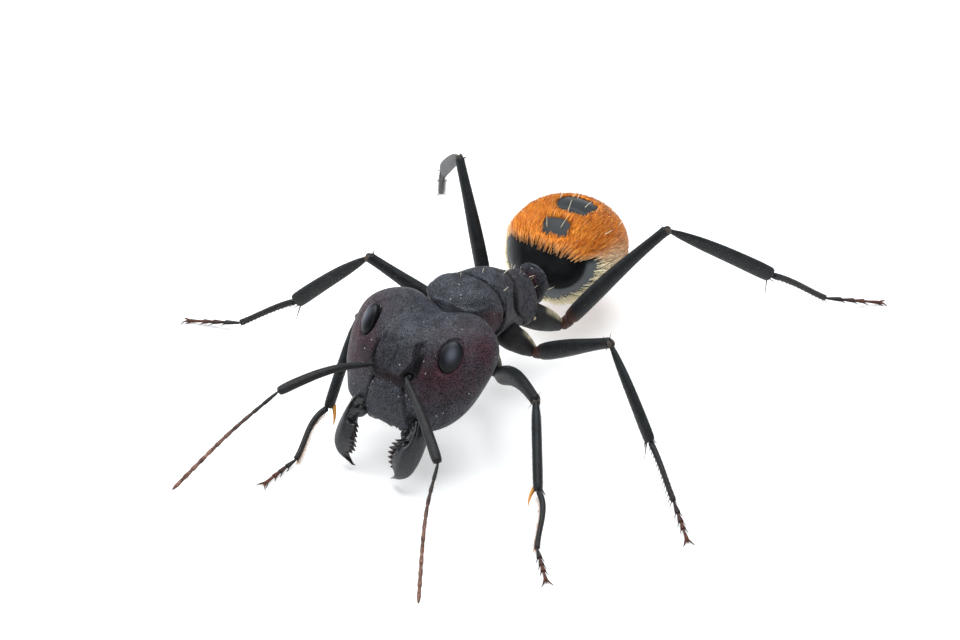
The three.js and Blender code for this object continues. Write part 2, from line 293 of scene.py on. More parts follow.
# Where each coxa and femur starts; for the four long pieces the heading from straight
# outwards towards the back, and the slope above the level, in degrees.
LEGS = {
    ("fore", "left"): (
        (0.5, -0.95, 2.4), (0.95, -0.5, 1.37),
        (-31.8, -51.5, -53.8, -42.0), (18.5, -31.9, -21.3, -6.3),
    ),
    ("fore", "right"): (
        (-0.5, -0.95, 2.4), (-0.95, -0.35, 1.6),
        (-53.1, -95.4, -97.0, -88.3), (28.6, -51.7, -21.6, -6.7),
    ),
    ("mid", "left"): (
        (0.5, 0.25, 2.1), (1.31, 0.8, 1.56),
        (-7.5, -20.1, -32.9, -40.0), (30.5, -46.8, -23.4, -8.1),
    ),
    ("mid", "right"): (
        (-0.5, 0.25, 2.1), (-1.17, 0.89, 1.5),
        (-22.9, -19.9, -19.1, -21.3), (32.6, -41.0, -32.4, -7.7),
    ),
    ("hind", "left"): (
        (0.42, 1.45, 2.0), (1.12, 2.41, 1.57),
        (44.4, 61.2, 75.0, 47.9), (45.0, -36.6, -38.8, -12.9),
    ),
    ("hind", "right"): (
        (-0.42, 1.45, 2.0), (-1.38, 2.12, 1.55),
        (31.2, 43.9, 48.7, 52.8), (57.9, -37.2, -47.6, -23.4),
    ),
}
# Each feeler: its socket in the head, its elbow, the middle of its whip and its tip.
FEELERS = {
    "left": ((0.62, -4.5, 3.3), (3.26, -6.34, 2.4), (4.05, -7.95, 1.75), (5.4, -10.05, 0.5)),
    "right": ((-0.4, -4.68, 3.52), (-1.75, -7.44, 3.45), (-2.2, -9.2, 2.75), (-2.7, -11.2, 1.7)),
}

# ---- meshes ----


def grid_faces(rows, columns, closed=False):
    """Quads of a grid of points, row after row; a closed grid joins its last column on."""
    row = np.arange(rows - 1)[:, None]
    column = np.arange(columns if closed else columns - 1)[None, :]
    after = (column + 1) % columns
    corners = (row * columns + column, row * columns + after)
    beyond = ((row + 1) * columns + after, (row + 1) * columns + column)
    return np.stack(corners + beyond, axis=-1).reshape(-1, 4)


def cube_sphere(count):
    """Directions and quads of a sphere, evenly covered by the six sides of a cube."""
    line = np.tan(np.linspace(-1.0, 1.0, count + 1) * math.pi / 4.0)
    a, b = (part.ravel() for part in np.meshgrid(line, line, indexing="ij"))
    points = []
    faces = []
    for axis in range(3):
        for sign in (1.0, -1.0):
            side = np.empty((len(a), 3))
            side[:, axis] = sign
            side[:, (axis + 1) % 3] = b
            side[:, (axis + 2) % 3] = a * sign
            faces.append(grid_faces(count + 1, count + 1) + len(a) * len(points))
            points.append(side)
    points = unit(np.concatenate(points))
    _, first, same = np.unique(points.round(6), axis=0, return_index=True, return_inverse=True)
    return points[first], same.ravel()[np.concatenate(faces)]


def face_normals(points, faces):
    """Normals of quads or triangles, as long as twice their area."""
    first, second, third, last = (points[faces[:, k]] for k in (0, 1, 2, -1))
    return np.cross(third - first, last - second)


def vertex_normals(points, faces):
    """Outward normals of the points of a closed surface, given as lists of faces."""
    total = np.zeros_like(points)
    for some in faces:
        flat = face_normals(points, some)
        for corner in some.T:
            for axis in range(3):
                total[:, axis] += np.bincount(corner, flat[:, axis], len(points))
    return unit(total)


class Shape:
    """Closed surfaces gathered into one piece, with the traits of every point."""

    def __init__(self):
        self.points = []
        self.faces = []
        self.traits = []
        self.count = 0

    def add(self, points, faces, **traits):
        """Adds one closed surface, turned the right way out."""
        volume = 0.0
        for some in faces:
            normal = face_normals(points, some)
            volume += (normal * points[some].mean(axis=1)).sum()
        for some in faces:
            turned = some if volume > 0.0 else some[:, ::-1]
            self.faces.append(turned + self.count)
        self.points.append(points)
        self.traits.append({key: np.broadcast_to(v, len(points)) for key, v in traits.items()})
        self.count += len(points)
        return self

    def trait(self, name):
        """One trait of all the points, 0 where a surface has none."""
        sizes = [len(points) for points in self.points]
        values = [t.get(name, np.zeros(n)) for t, n in zip(self.traits, sizes)]
        return np.concatenate(values).astype(np.float32)


def write_mesh(name, shape):
    """A mesh datablock of a shape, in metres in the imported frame."""
    mesh = bpy.data.meshes.new(name)
    points = np.concatenate(shape.points)
    corners = np.concatenate([faces.ravel() for faces in shape.faces])
    sizes = np.concatenate([np.full(len(faces), faces.shape[1]) for faces in shape.faces])
    starts = np.concatenate([[0], np.cumsum(sizes)[:-1]])
    mesh.vertices.add(len(points))
    mesh.loops.add(len(corners))
    mesh.polygons.add(len(sizes))
    mesh.vertices.foreach_set("co", ((points + SHIFT) * MM).astype(np.float32).ravel())
    mesh.loops.foreach_set("vertex_index", corners.astype(np.int32))
    mesh.polygons.foreach_set("loop_start", starts.astype(np.int32))
    mesh.update(calc_edges=True)
    mesh.polygons.foreach_set("use_smooth", np.ones(len(sizes), bool))
    for trait in sorted({key for traits in shape.traits for key in traits} - {"u", "v"}):
        layer = mesh.attributes.new(trait, "FLOAT", "POINT")
        layer.data.foreach_set("value", shape.trait(trait))
    if "u" in shape.traits[0]:
        spots = np.stack([shape.trait("u"), shape.trait("v")], axis=1)[corners]
        layer = mesh.uv_layers.new(name="OFBake")
        layer.data.foreach_set("uv", spots.astype(np.float32).ravel())
    return mesh


def make_piece(name, shape, material, nodes=()):
    """A named piece of the ant that rides on its body and stands for CAD nodes."""
    piece = bpy.data.objects.new(name, write_mesh(name, shape))
    bpy.context.scene.collection.objects.link(piece)
    piece.data.materials.append(material)
    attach(piece, BODY)
    if nodes:
        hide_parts(*nodes)
    return piece


# ---- rounds, limbs and hairs ----


def smooth_path(points, count):
    """Evenly numbered points on a curve that passes through the given ones."""
    points = np.asarray(points, float)
    ends = (2.0 * points[0] - points[1], 2.0 * points[-1] - points[-2])
    knots = np.concatenate([ends[:1], points, ends[1:]])
    place = np.linspace(0.0, len(points) - 1.0, count)
    i = np.minimum(place.astype(int), len(points) - 2)
    t = (place - i)[:, None]
    a, b, c, d = (knots[i + k] for k in range(4))
    curve = 2.0 * b + (c - a) * t + (2.0 * a - 5.0 * b + 4.0 * c - d) * t**2
    return 0.5 * (curve + (3.0 * b - a - 3.0 * c + d) * t**3)


def close_rings(rings):
    """Points and faces of a run of rings, closed at both ends to the middle of a ring."""
    count, sides = rings.shape[:2]
    middles = (rings[0].mean(axis=0), rings[-1].mean(axis=0))
    points = np.concatenate([rings.reshape(-1, 3), middles])
    k = np.arange(sides)
    after = (k + 1) % sides
    last = (count - 1) * sides
    near = np.stack([after, k, np.full(sides, count * sides)], axis=1)
    far = np.stack([last + k, last + after, np.full(sides, count * sides + 1)], axis=1)
    return points, [grid_faces(count, sides, closed=True), np.concatenate([near, far])]


def tube(path, across, wide, tall, sides=16):
    """Points and faces of rings round a path: half wide across it and half tall over it."""
    tangent = unit(np.gradient(path, axis=0))
    across = np.broadcast_to(across, path.shape)
    across = unit(across - (across * tangent).sum(axis=1, keepdims=True) * tangent)
    over = np.cross(across, tangent)
    turn = np.linspace(0.0, 2.0 * math.pi, sides, endpoint=False)
    wide, tall = (np.broadcast_to(half, len(path))[:, None, None] for half in (wide, tall))
    rings = path[:, None] + across[:, None] * wide * np.cos(turn)[None, :, None]
    rings = rings + over[:, None] * tall * np.sin(turn)[None, :, None]
    return close_rings(rings)


def stem(path, t, rows, across, sides=18, blunt=(0.05, 0.05)):
    """A closed rounded stem on a path, its half width and height given by rows [t, w, h].

    The ends are rounded over the given shares of it. Returns its points, its faces and how
    far along the stem each point lies.
    """
    near = np.clip((blunt[0] - t) / blunt[0], 0.0, 1.0)
    far = np.clip((t - 1.0 + blunt[1]) / blunt[1], 0.0, 1.0)
    cap = np.sqrt(np.maximum(1.0 - near**2, 1e-4)) * np.sqrt(np.maximum(1.0 - far**2, 1e-4))
    wide, tall = follow(rows, t).T
    points, faces = tube(path, across, wide * cap, tall * cap, sides)
    return points, faces, np.concatenate([np.repeat(t, sides), [0.0, 1.0]])


def limb(start, end, rows, across, rings=28, sides=18, bow=0.0, blunt=(0.05, 0.05)):
    """A stem between two joints that bows upwards in its middle."""
    start, end = np.asarray(start, float), np.asarray(end, float)
    t = (1.0 - np.cos(np.linspace(0.0, math.pi, rings))) / 2.0
    over = np.cross(across, unit(end - start))
    over = unit(over) * (1.0 if over[2] > 0.0 else -1.0)
    path = start + (end - start) * t[:, None] + over * (bow * np.sin(math.pi * t))[:, None]
    return stem(path, t, rows, across, sides, blunt)


def ellipsoid(middle, size, axes=None, count=12):
    """Points and faces of a small closed round."""
    directions, quads = cube_sphere(count)
    points = directions * np.asarray(size)
    if axes is not None:
        points = points @ np.asarray(axes).T
    return points + np.asarray(middle), [quads]


def strands(roots, ways, normals, length, width, rise=0.2, droop=0.1, rings=2, depth=0.5):
    """Many closed tapering hairs, each three-sided, as points and faces.

    Each hair starts along its way, rises towards its normal and droops to its tip. The last
    two values returned are the hair each point belongs to and how far along it lies.
    """
    count = len(roots)
    length, width, rise, droop = (
        np.broadcast_to(value, count)[:, None] for value in (length, width, rise, droop)
    )
    side = unit(np.cross(ways, normals))
    levels = np.linspace(0.0, 1.0, rings, endpoint=False)
    corners = ((-0.5, 0.0), (0.5, 0.0), (0.0, depth))
    points = []
    along = []
    for t in levels:
        middle = roots + ways * length * t + normals * length * (rise * t - droop * t * t)
        half = width * (1.0 - t) ** 0.6
        for aside, above in corners:
            points.append(middle + side * half * aside + normals * half * above)
            along.append(np.full(count, t))
    points.append(roots + ways * length + normals * length * (rise - droop))
    along.append(np.ones(count))
    each = 3 * rings + 1
    points = np.stack(points, axis=1).reshape(-1, 3)
    along = np.stack(along, axis=1).ravel()
    base = (np.arange(count) * each)[:, None]
    quads = []
    for ring in range(rings - 1):
        for k in range(3):
            n = (k + 1) % 3
            quads.append(base + np.array([k, n, n + 3, k + 3]) + 3 * ring)
    top = 3 * (rings - 1)
    tris = [base + np.array([2, 1, 0])]
    tris += [base + np.array([top + k, top + (k + 1) % 3, top + 3]) for k in range(3)]
    faces = [np.concatenate(tris)]
    if quads:
        faces.insert(0, np.concatenate(quads))
    return points, faces, np.repeat(np.arange(count), each), along


def bake_spot(share):
    """A place on the bake map, just inside it, from a share of the way across it."""
    return BAKE_MARGIN + (1.0 - 2.0 * BAKE_MARGIN) * share


def unwrap(part, angle, along):
    """The places on the bake map of roots at angles and places along a part."""
    return bake_spot(angle / (2.0 * math.pi) + 0.5), bake_spot(part.share(along))


def hair_shape(part, roots, ways, normals, tone, shade, spots, fade=0.0, rings=2, **options):
    """Hairs as one shape, each a small patch at its root's place on the bake map.

    fade is added to the tone at each hair's root, and a little is taken off at its tip.
    """
    points, faces, owner, along = strands(roots, ways, normals, rings=rings, **options)
    across = np.tile(np.concatenate([np.tile((-1.0, 1.0, 0.0), rings), [0.0]]), len(roots))
    fade = np.broadcast_to(fade, len(roots))
    u, v = spots
    return Shape().add(
        part.place(points) if part else points,
        faces,
        tone=np.clip(tone[owner] + fade[owner] * (1.0 - along * 1.6), 0.0, 1.0),
        shade=shade[owner],
        u=u[owner] + across * BAKE_PATCH,
        v=v[owner] + (along - 0.5) * 2.0 * BAKE_PATCH,
    )


# ---- finishes ----


class Finish:
    """A procedural material built round one Principled shader."""

    def __init__(self, name):
        self.material = bpy.data.materials.new(name)
        self.material.use_nodes = True
        self.tree = self.material.node_tree
        self.shader = self.tree.nodes["Principled BSDF"]
        self.spot = self.node("ShaderNodeTexCoord").outputs["Object"]

    def node(self, kind, **settings):
        """A new node with the given settings."""
        made = self.tree.nodes.new(kind)
        for key, value in settings.items():
            setattr(made, key, value)
        return made

    def feed(self, socket, value):
        """Links a socket to another node's output, or sets its value."""
        if isinstance(value, bpy.types.NodeSocket):
            self.tree.links.new(value, socket)
        else:
            socket.default_value = value

    def noise(self, size, detail=2.0, stretch=(1.0, 1.0, 1.0)):
        """Soft random values, in lumps of the given size in millimetres."""
        spread = self.node("ShaderNodeMapping")
        self.feed(spread.inputs["Vector"], self.spot)
        spread.inputs["Scale"].default_value = stretch
        made = self.node("ShaderNodeTexNoise")
        self.feed(made.inputs["Vector"], spread.outputs[0])
        made.inputs["Scale"].default_value = 1.0 / (size * MM)
        made.inputs["Detail"].default_value = detail
        return made.outputs[0]

    def cells(self, size):
        """The distance to the nearest of many scattered points, in cells of that size."""
        made = self.node("ShaderNodeTexVoronoi")
        self.feed(made.inputs["Vector"], self.spot)
        made.inputs["Scale"].default_value = 1.0 / (size * MM)
        return made.outputs[0]

    def trait(self, name):
        """A value carried by the points of the mesh."""
        return self.node("ShaderNodeAttribute", attribute_name=name).outputs["Fac"]

    def span(self, value, low, high, start=0.0, end=1.0):
        """Maps a value from low-high to start-end, held at both ends."""
        made = self.node("ShaderNodeMapRange")
        for socket, number in zip(made.inputs, (value, low, high, start, end)):
            self.feed(socket, number)
        return made.outputs[0]

    def blend(self, factor, first, second, blend_type="MIX"):
        """One colour over another."""
        made = self.node("ShaderNodeMix", data_type="RGBA", blend_type=blend_type)
        self.feed(made.inputs[0], factor)
        self.feed(made.inputs[6], first)
        self.feed(made.inputs[7], second)
        return made.outputs[2]

    def sum(self, first, second):
        """One value added to another."""
        made = self.node("ShaderNodeMath")
        self.feed(made.inputs[0], first)
        self.feed(made.inputs[1], second)
        return made.outputs[0]

    def uneven(self, size, detail, low, high):
        """Values that wander softly between two limits."""
        return self.span(self.noise(size, detail), 0.3, 0.7, low, high)

    def mottle(self, size, detail, first, second, low=0.35, high=0.65):
        """One of the chosen colours with soft patches of another."""
        patches = self.span(self.noise(size, detail), low, high)
        return self.blend(patches, colour_of(first), colour_of(second))

    def tint(self, colour, trait, name):
        """A colour that turns into one of the chosen ones where the mesh says so."""
        return self.blend(self.trait(trait), colour, colour_of(name))

    def relief(self, height, depth, strength=1.0, over=None):
        """A bumpy surface whose relief is as deep as the given millimetres."""
        made = self.node("ShaderNodeBump")
        made.inputs["Strength"].default_value = strength
        made.inputs["Distance"].default_value = depth * MM
        self.feed(made.inputs["Height"], height)
        if over is not None:
            self.feed(made.inputs["Normal"], over)
        return made.outputs[0]

    def done(self, colour, roughness, normal=None, specular=0.5):
        """Feeds the shader and returns the material."""
        self.feed(self.shader.inputs["Base Color"], colour)
        self.feed(self.shader.inputs["Roughness"], roughness)
        self.shader.inputs["Specular IOR Level"].default_value = specular
        if normal is not None:
            self.feed(self.shader.inputs["Normal"], normal)
        return self.material


def colour_of(name):
    """A colour that the user chose, as a list of four numbers."""
    return list(getattr(bpy.context.scene.ant_colours, name))


def shell_finish(name):
    """Matte, finely granular shell with a red blush where the mesh says so, and painted shade in
    black where the mesh marks grooves.
    """
    grain = 0.036
    roughness = 0.46
    finish = Finish(name)
    plain = finish.mottle(0.35, 3.0, "shell", "shell_pale")
    blush = finish.mottle(0.2, 2.0, "blush", "blush_deep", 0.3, 0.7)
    colour = finish.blend(finish.trait("blush"), plain, blush)
    specks = finish.span(finish.cells(grain), 0.1, 0.75, 2.3, 0.22)
    colour = finish.blend(1.0, colour, specks, "MULTIPLY")
    # Painted shade: the groove trait turns the colour near-black in grooves and hollows.
    colour = finish.tint(colour, "groove", "gloss_black_and_shade")
    colour = finish.tint(colour, "pale", "membrane")
    grains = finish.span(finish.cells(0.27), 0.09, 0.06)
    colour = finish.blend(grains, colour, colour_of("grains"))
    dull = finish.uneven(0.05, 2.0, roughness - 0.1, roughness + 0.12)
    dull = finish.sum(dull, finish.span(finish.trait("groove"), 0.0, 1.0, 0.0, 0.35))
    fine = finish.relief(finish.cells(grain), 0.012, 1.0)
    broad = finish.relief(finish.noise(0.25, 3.0), 0.008, 0.6, over=fine)
    return finish.done(colour, dull, broad, 0.16)


def jaw_finish(name):
    """Dull outside, glossy black along the teeth and at the joint, with black painted shade in the
    hollows of the blade, brown at the teeth.
    """
    finish = Finish(name)
    specks = finish.span(finish.cells(0.04), 0.1, 0.75, 1.5, 0.6)
    colour = finish.blend(1.0, colour_of("jaw"), specks, "MULTIPLY")
    # The groove trait is glossy black on the teeth, joint and mouth parts, and painted shade in the
    # blade's hollows.
    colour = finish.tint(colour, "groove", "gloss_black_and_shade")
    colour = finish.tint(colour, "worn", "worn_tooth")
    dull = finish.span(finish.trait("groove"), 0.0, 0.8, 0.44, 0.16)
    dull = finish.sum(dull, finish.uneven(0.08, 3.0, -0.06, 0.1))
    pits = finish.relief(finish.cells(0.09), 0.008, 0.7)
    lines = finish.relief(finish.noise(0.06, 2.0), 0.006, 0.6, over=pits)
    return finish.done(colour, dull, lines, 0.5)


def eye_finish(name):
    """Smooth lens shell, black at its rim, with a painted highlight high on the dome, finely faceted.
    """
    finish = Finish(name)
    # The bloom trait is a painted highlight: paler colour high on the dome.
    colour = finish.blend(finish.trait("bloom"), colour_of("eye"), colour_of("eye_painted_highlight"))
    dull = finish.uneven(0.2, 1.0, 0.3, 0.36)
    facets = finish.relief(finish.cells(0.024), 0.002, 0.35)
    return finish.done(colour, dull, facets, 0.16)


def limb_finish(name, far_colour="rust", roughness=0.42):
    """Satin black shell that turns red-brown where the mesh says so."""
    finish = Finish(name)
    plain = finish.mottle(0.3, 3.0, "limb", "limb_pale")
    rust = finish.mottle(0.15, 2.0, far_colour, "rust_dark", 0.3, 0.7)
    colour = finish.blend(finish.trait("rust"), plain, rust)
    colour = finish.tint(colour, "pale", "membrane")
    colour = finish.tint(colour, "amber", "amber")
    dull = finish.uneven(0.06, 2.0, roughness - 0.08, roughness + 0.1)
    fine = finish.relief(finish.cells(0.03), 0.012, 0.9)
    broad = finish.relief(finish.noise(0.1, 3.0), 0.01, 0.6, over=fine)
    return finish.done(colour, dull, broad, 0.2)


def plate_finish(name):
    """Smoother black of the rear plates, with fine lines across the body, painted sheen on the sides
    and the coat's painted shade under its hair.
    """
    finish = Finish(name)
    colour = finish.mottle(0.4, 3.0, "plate", "limb")
    # Partly painted sheen: the bare trait greys the sides, far more on the left.
    colour = finish.tint(colour, "bare", "bare_side_sheen")
    # Painted shade of the coat: the coated trait lays a dark orange under the hair.
    colour = finish.tint(colour, "coated", "coat_shadow")
    dull = finish.uneven(0.08, 2.0, 0.3, 0.46)
    lines = finish.relief(finish.noise(0.05, 2.0, (0.35, 2.5, 1.0)), 0.004, 0.5)
    return finish.done(colour, dull, lines, 0.08)


def hair_finish(name, root, tip, palest):
    """Hair from its own shade and tone, with a soft shine."""
    finish = Finish(name)
    colour = finish.blend(finish.trait("shade"), colour_of(root), colour_of(tip))
    colour = finish.tint(colour, "tone", palest)
    vary = finish.uneven(0.06, 1.0, 0.85, 1.15)
    colour = finish.blend(1.0, colour, vary, "MULTIPLY")
    dull = finish.uneven(0.03, 1.0, 0.37, 0.5)
    return finish.done(colour, dull, None, 0.2)


def material_of(name, maker, *values):
    """The material of that name, made the first time it is asked for."""
    return bpy.data.materials.get(name) or maker(name, *values)


def trunk_material():
    """The granular shell of the trunk and waist."""
    return material_of("granular_trunk", shell_finish)


def limb_material():
    """The shell of the legs and of the first feeler pieces."""
    return material_of("limb_satin", limb_finish)


def coat_material():
    """The lying hair of the rear body."""
    return material_of("coat_hair", hair_finish, "coat", "coat_pale", "cream")


def bristle_material():
    """The standing hairs of the body."""
    return material_of("bristle", hair_finish, "bristle", "cream", "cream")


def down_material():
    """The fine hairs of the legs and feelers."""
    return material_of("down", hair_finish, "limb", "down", "down_pale")


# ---- the head ----

# Half distance between the two frontal ridges at places along the head.
RIDGES = ((-0.66, 0.4), (-0.36, 0.5), (-0.06, 0.61), (0.2, 0.57), (0.42, 0.54), (0.68, 0.72))
# Half width of the clypeus, the plate over the mouth, at places along the head, and its top.
CLYPEUS = ((-2.12, 0.98), (-1.8, 0.78), (-1.4, 0.67), (-1.0, 0.57), (-0.8, 0.45))
CLYPEUS_TOP = -0.9
# The socket of the left feeler, and the pit over the joint of the left jaw.
SOCKET = (0.615, -0.5)
JAW_PIT = (0.93, -1.66)
# The face of this ant sits a little off the middle of its head.
FACE_MOVED = (0.03, -0.06)
# A larger and a smaller dent of the forehead, and the fuller front corner on the right.
DENT = (-0.69, 1.19)
SMALL_DENT = (0.27, 1.15)
FULL_CORNER = (-1.6, -1.75)


def draw_in_occiput(points):
    """Moves the rear edge of the head in between its two lobes."""
    near = smoothstep(points[:, 1], NOTCH["start"], HEAD.high)
    points[:, 1] -= NOTCH["depth"] * near * bell(points[:, 0], NOTCH["wide"])


def face_relief(x, y):
    """Height of the ridges, sockets, grooves and pits of the face, in millimetres."""
    x, y = x - FACE_MOVED[0], y - FACE_MOVED[1]
    aside = np.abs(x)
    ridge = aside - follow(RIDGES, y)[:, 0]
    length = smoothstep(y, -0.72, -0.52) * falloff(y, 0.5, 0.74)
    lobe = 0.11 * np.exp(np.minimum(ridge, 0.0) / 0.28) * falloff(ridge, -0.01, 0.06)
    height = length * (lobe + 0.07 * bell(ridge, 0.03))
    # The hollow outside each ridge, the socket with its rim, and the groove of the forehead.
    height -= 0.16 * bell(aside - 0.76, 0.12) * bell(y + 0.2, 0.42)
    rim = away(aside, y, SOCKET)
    height -= 0.12 * falloff(rim, 0.08, 0.15)
    height += 0.035 * bell(rim - 0.18, 0.04)
    height -= 0.06 * bell(x, 0.028) * smoothstep(y, -0.42, -0.3) * falloff(y, 0.16, 0.3)
    # The raised clypeus, the groove round it and the pits at its upper corners.
    edge = aside - follow(CLYPEUS, y)[:, 0]
    below = falloff(y, CLYPEUS_TOP - 0.05, CLYPEUS_TOP + 0.03)
    plate = falloff(edge, -0.08, 0.0) * below
    height += plate * (0.05 + 0.01 * bell(x, 0.12))
    height -= 0.06 * bell(edge - 0.03, 0.03) * below
    height -= 0.02 * bell(y - CLYPEUS_TOP - 0.01, 0.06) * bell(aside - 0.36, 0.2)
    height -= 0.07 * bell(away(aside, y, (0.56, CLYPEUS_TOP), 0.7), 0.07)
    # The pit over the jaw's joint with its rim, and the two dents.
    pit = away(aside, y, JAW_PIT)
    height -= 0.06 * falloff(pit, 0.1, 0.17)
    height += 0.02 * bell(pit - 0.19, 0.035)
    height -= 0.05 * bell(away(x, y, DENT), 0.09)
    height -= 0.02 * bell(away(x, y, SMALL_DENT), 0.05)
    return height


def face_painted_shade(x, y):
    """Painted shade on the face, darkest round the sockets, outside the ridges and between them."""
    x, y = x - FACE_MOVED[0], y - FACE_MOVED[1]
    aside = np.abs(x)
    rim = bell(away(aside, y, SOCKET, 0.9), 0.2)
    beside = aside - follow(RIDGES, y)[:, 0] - 0.1
    behind = smoothstep(y, -0.6, -0.4)
    trench = 0.85 * bell(beside, 0.065) * behind * falloff(y, 0.3, 0.62)
    between = 0.95 * bell(y + 0.68, 0.18) * falloff(aside, 0.5, 0.85)
    hinge = 0.7 * bell(away(aside, y, JAW_PIT), 0.13)
    spots = 0.8 * bell(away(x, y, DENT), 0.06) + 0.6 * bell(away(x, y, SMALL_DENT), 0.03)
    field = 0.3 * falloff(beside, -0.25, -0.1) * behind * falloff(y, 0.1, 0.6)
    field = field + 0.6 * bell(aside - 1.2, 0.26) * bell(y + 0.2, 0.36)
    return np.maximum.reduce([rim, trench, between, hinge, spots, field])


def orbit_relief(x, y):
    """The groove round each eye, and the low rim outside it."""
    narrow = EYE["wide"] * math.cos(eye_place(1.0)[1])
    x = x - EYE_MOVED
    y = y + EYE_MOVED * np.sign(x)
    reach = np.hypot((np.abs(x) - EYE["x"]) / narrow, (y - EYE["y"]) / EYE["tall"])
    inner = -0.1 * falloff(reach, 0.85, 1.05)
    return inner - 0.03 * bell(reach - 1.06, 0.07) + 0.014 * bell(reach - 1.28, 0.12)


def head_blush(points, normals):
    """How red the head is: round the eyes, on the brow and in front of the ridges."""
    aside, y = np.abs(points[:, 0]), points[:, 1]
    cheek = bell(away(aside, y, (1.95, 0.6), 0.75), 0.8)
    brow = 0.9 * bell(away(aside, y, (1.25, -0.4), 0.9), 0.62)
    under = 0.9 * bell(y + 0.76, 0.13) * falloff(aside, 0.3, 0.6)
    mottle = 0.75 + 0.35 * ripples(points, 0.35, 5)
    return np.clip((cheek + brow + under) * mottle * smoothstep(normals[:, 2], -0.35, 0.15), 0.0, 1.0)


def build_head(relief, count):
    """The head capsule with its relief, as one closed shape."""
    directions, faces = cube_sphere(count)
    across = np.maximum(np.hypot(directions[:, 0], directions[:, 2]), 1e-9)
    power = HEAD.bluntness
    scale = (np.abs(directions[:, 1]) ** power + across**power) ** (-1.0 / power)
    along = (directions[:, 1] * scale + 1.0) / 2.0 * (HEAD.high - HEAD.low) + HEAD.low
    wide, top, bottom = follow(HEAD.rows, along).T
    x = directions[:, 0] * scale * wide
    z = (top + bottom) / 2.0 + directions[:, 2] * scale * (top - bottom) / 2.0
    points = np.stack([x, along, z], axis=1)
    draw_in_occiput(points)
    normals = vertex_normals(points, [faces])
    x, y = points[:, 0], points[:, 1]
    upwards = normals[:, 2]
    front = smoothstep(upwards, 0.05, 0.35)
    height = front * face_relief(x, y)
    height += smoothstep(upwards, 0.0, 0.2) * orbit_relief(x, y)
    height -= 0.05 * bell(x, 0.05) * smoothstep(-upwards, 0.3, 0.7)
    height += 0.13 * bell(away(x, y, FULL_CORNER), 0.42)
    height += 0.012 * ripples(points, 0.9, 1) + 0.004 * ripples(points, 0.3, 2)
    pit = away(np.abs(x), y, JAW_PIT)
    height += front * 0.02 * ripples(points, 0.06, 3) * falloff(pit, 0.1, 0.22)
    points = points + normals * (height * relief)[:, None]
    blush = head_blush(points, normals)
    # Painted shade: black wherever the relief sinks and in the face's hollows, laid on through the
    # groove trait.
    painted_shade = front * face_painted_shade(points[:, 0], points[:, 1]) * (0.8 + 0.3 * ripples(points, 0.12, 4))
    groove = np.clip(np.maximum(smoothstep(-height, 0.02, 0.09), painted_shade), 0.0, 1.0)
    return Shape().add(HEAD.place(points), [faces], blush=blush, groove=groove)


def build_eye(sign):
    """One eye: an oval dome covered in a lattice of tiny facets."""
    facet = 0.034
    directions, faces = cube_sphere(64)
    size = np.array([EYE["wide"], EYE["tall"], LENS[0]])
    middle, turn = eye_place(sign)
    axes = np.array(Matrix.Rotation(turn, 3, "Y"))
    middle = middle + np.array([EYE_MOVED, -EYE_MOVED * sign, 0.0])
    middle = middle + axes[:, 2] * (EYE["deep"] * EYE["sunk"] - LENS[1])
    flat = directions * size
    lattice = 0.0
    for k in range(3):
        way = np.array([math.cos(k * math.pi / 3.0), math.sin(k * math.pi / 3.0)])
        lattice = lattice + np.cos(flat[:, :2] @ way * (2.0 * math.pi / facet))
    points = flat * (1.0 + 0.003 * lattice)[:, None]
    # bloom is a painted highlight, paler colour high in the middle of the dome.
    bloom = bell(np.hypot(directions[:, 0], directions[:, 1] - 0.2), 0.45)
    return Shape().add(HEAD.place(points @ axes.T + middle), [faces], bloom=bloom)


# The left jaw in the head's frame: its outer edge and its inner edge, from base to tip.
JAW_OUTER = (
    (1.34, -1.7), (1.45, -2.1), (1.51, -2.6), (1.49, -3.0), (1.38, -3.32), (1.14, -3.53), (0.7, -3.68)
)
JAW_INNER = (
    (0.82, -1.7), (0.92, -2.1), (0.84, -2.38), (0.63, -2.54), (0.57, -2.78), (0.57, -3.02),
    (0.64, -3.24), (0.86, -3.4), (0.7, -3.69),
)
# Where along its inner edge the teeth are, and how deep the gaps between them reach.
TEETH = {"count": 6, "start": 0.36, "end": 0.82, "depth": 0.17}
# How high the blade lies; its inner side leans up towards the head between low and high.
JAW_LIFT = {"height": 0.5, "lean": 0.4, "hinge": 1.4, "low": -3.6, "high": -2.6}
JAW_HINGE = np.array([1.14, -1.98, 0.5])
# The left jaw is a little more closed than the right one.
JAW_OPEN = {"left": -6.0, "right": 6.0}


def jaw_inner_edge(share):
    """The inner edge of the jaw, how its teeth move it, and how near each tooth's point is."""
    edge = smooth_path(JAW_INNER, len(share))
    biting = (share - TEETH["start"]) / (TEETH["end"] - TEETH["start"])
    inside = (biting > 0.0) & (biting < 1.0)
    saw = (biting * TEETH["count"]) % 1.0
    point = np.clip(1.15 - 2.1 * np.abs(saw - 0.55), 0.0, 1.0) ** 0.8
    point = np.where(inside, point, 1.0)
    bite = np.stack([TEETH["depth"] * (1.0 - point), -0.05 * point * inside], axis=1)
    return edge, bite, point * (share > TEETH["start"])


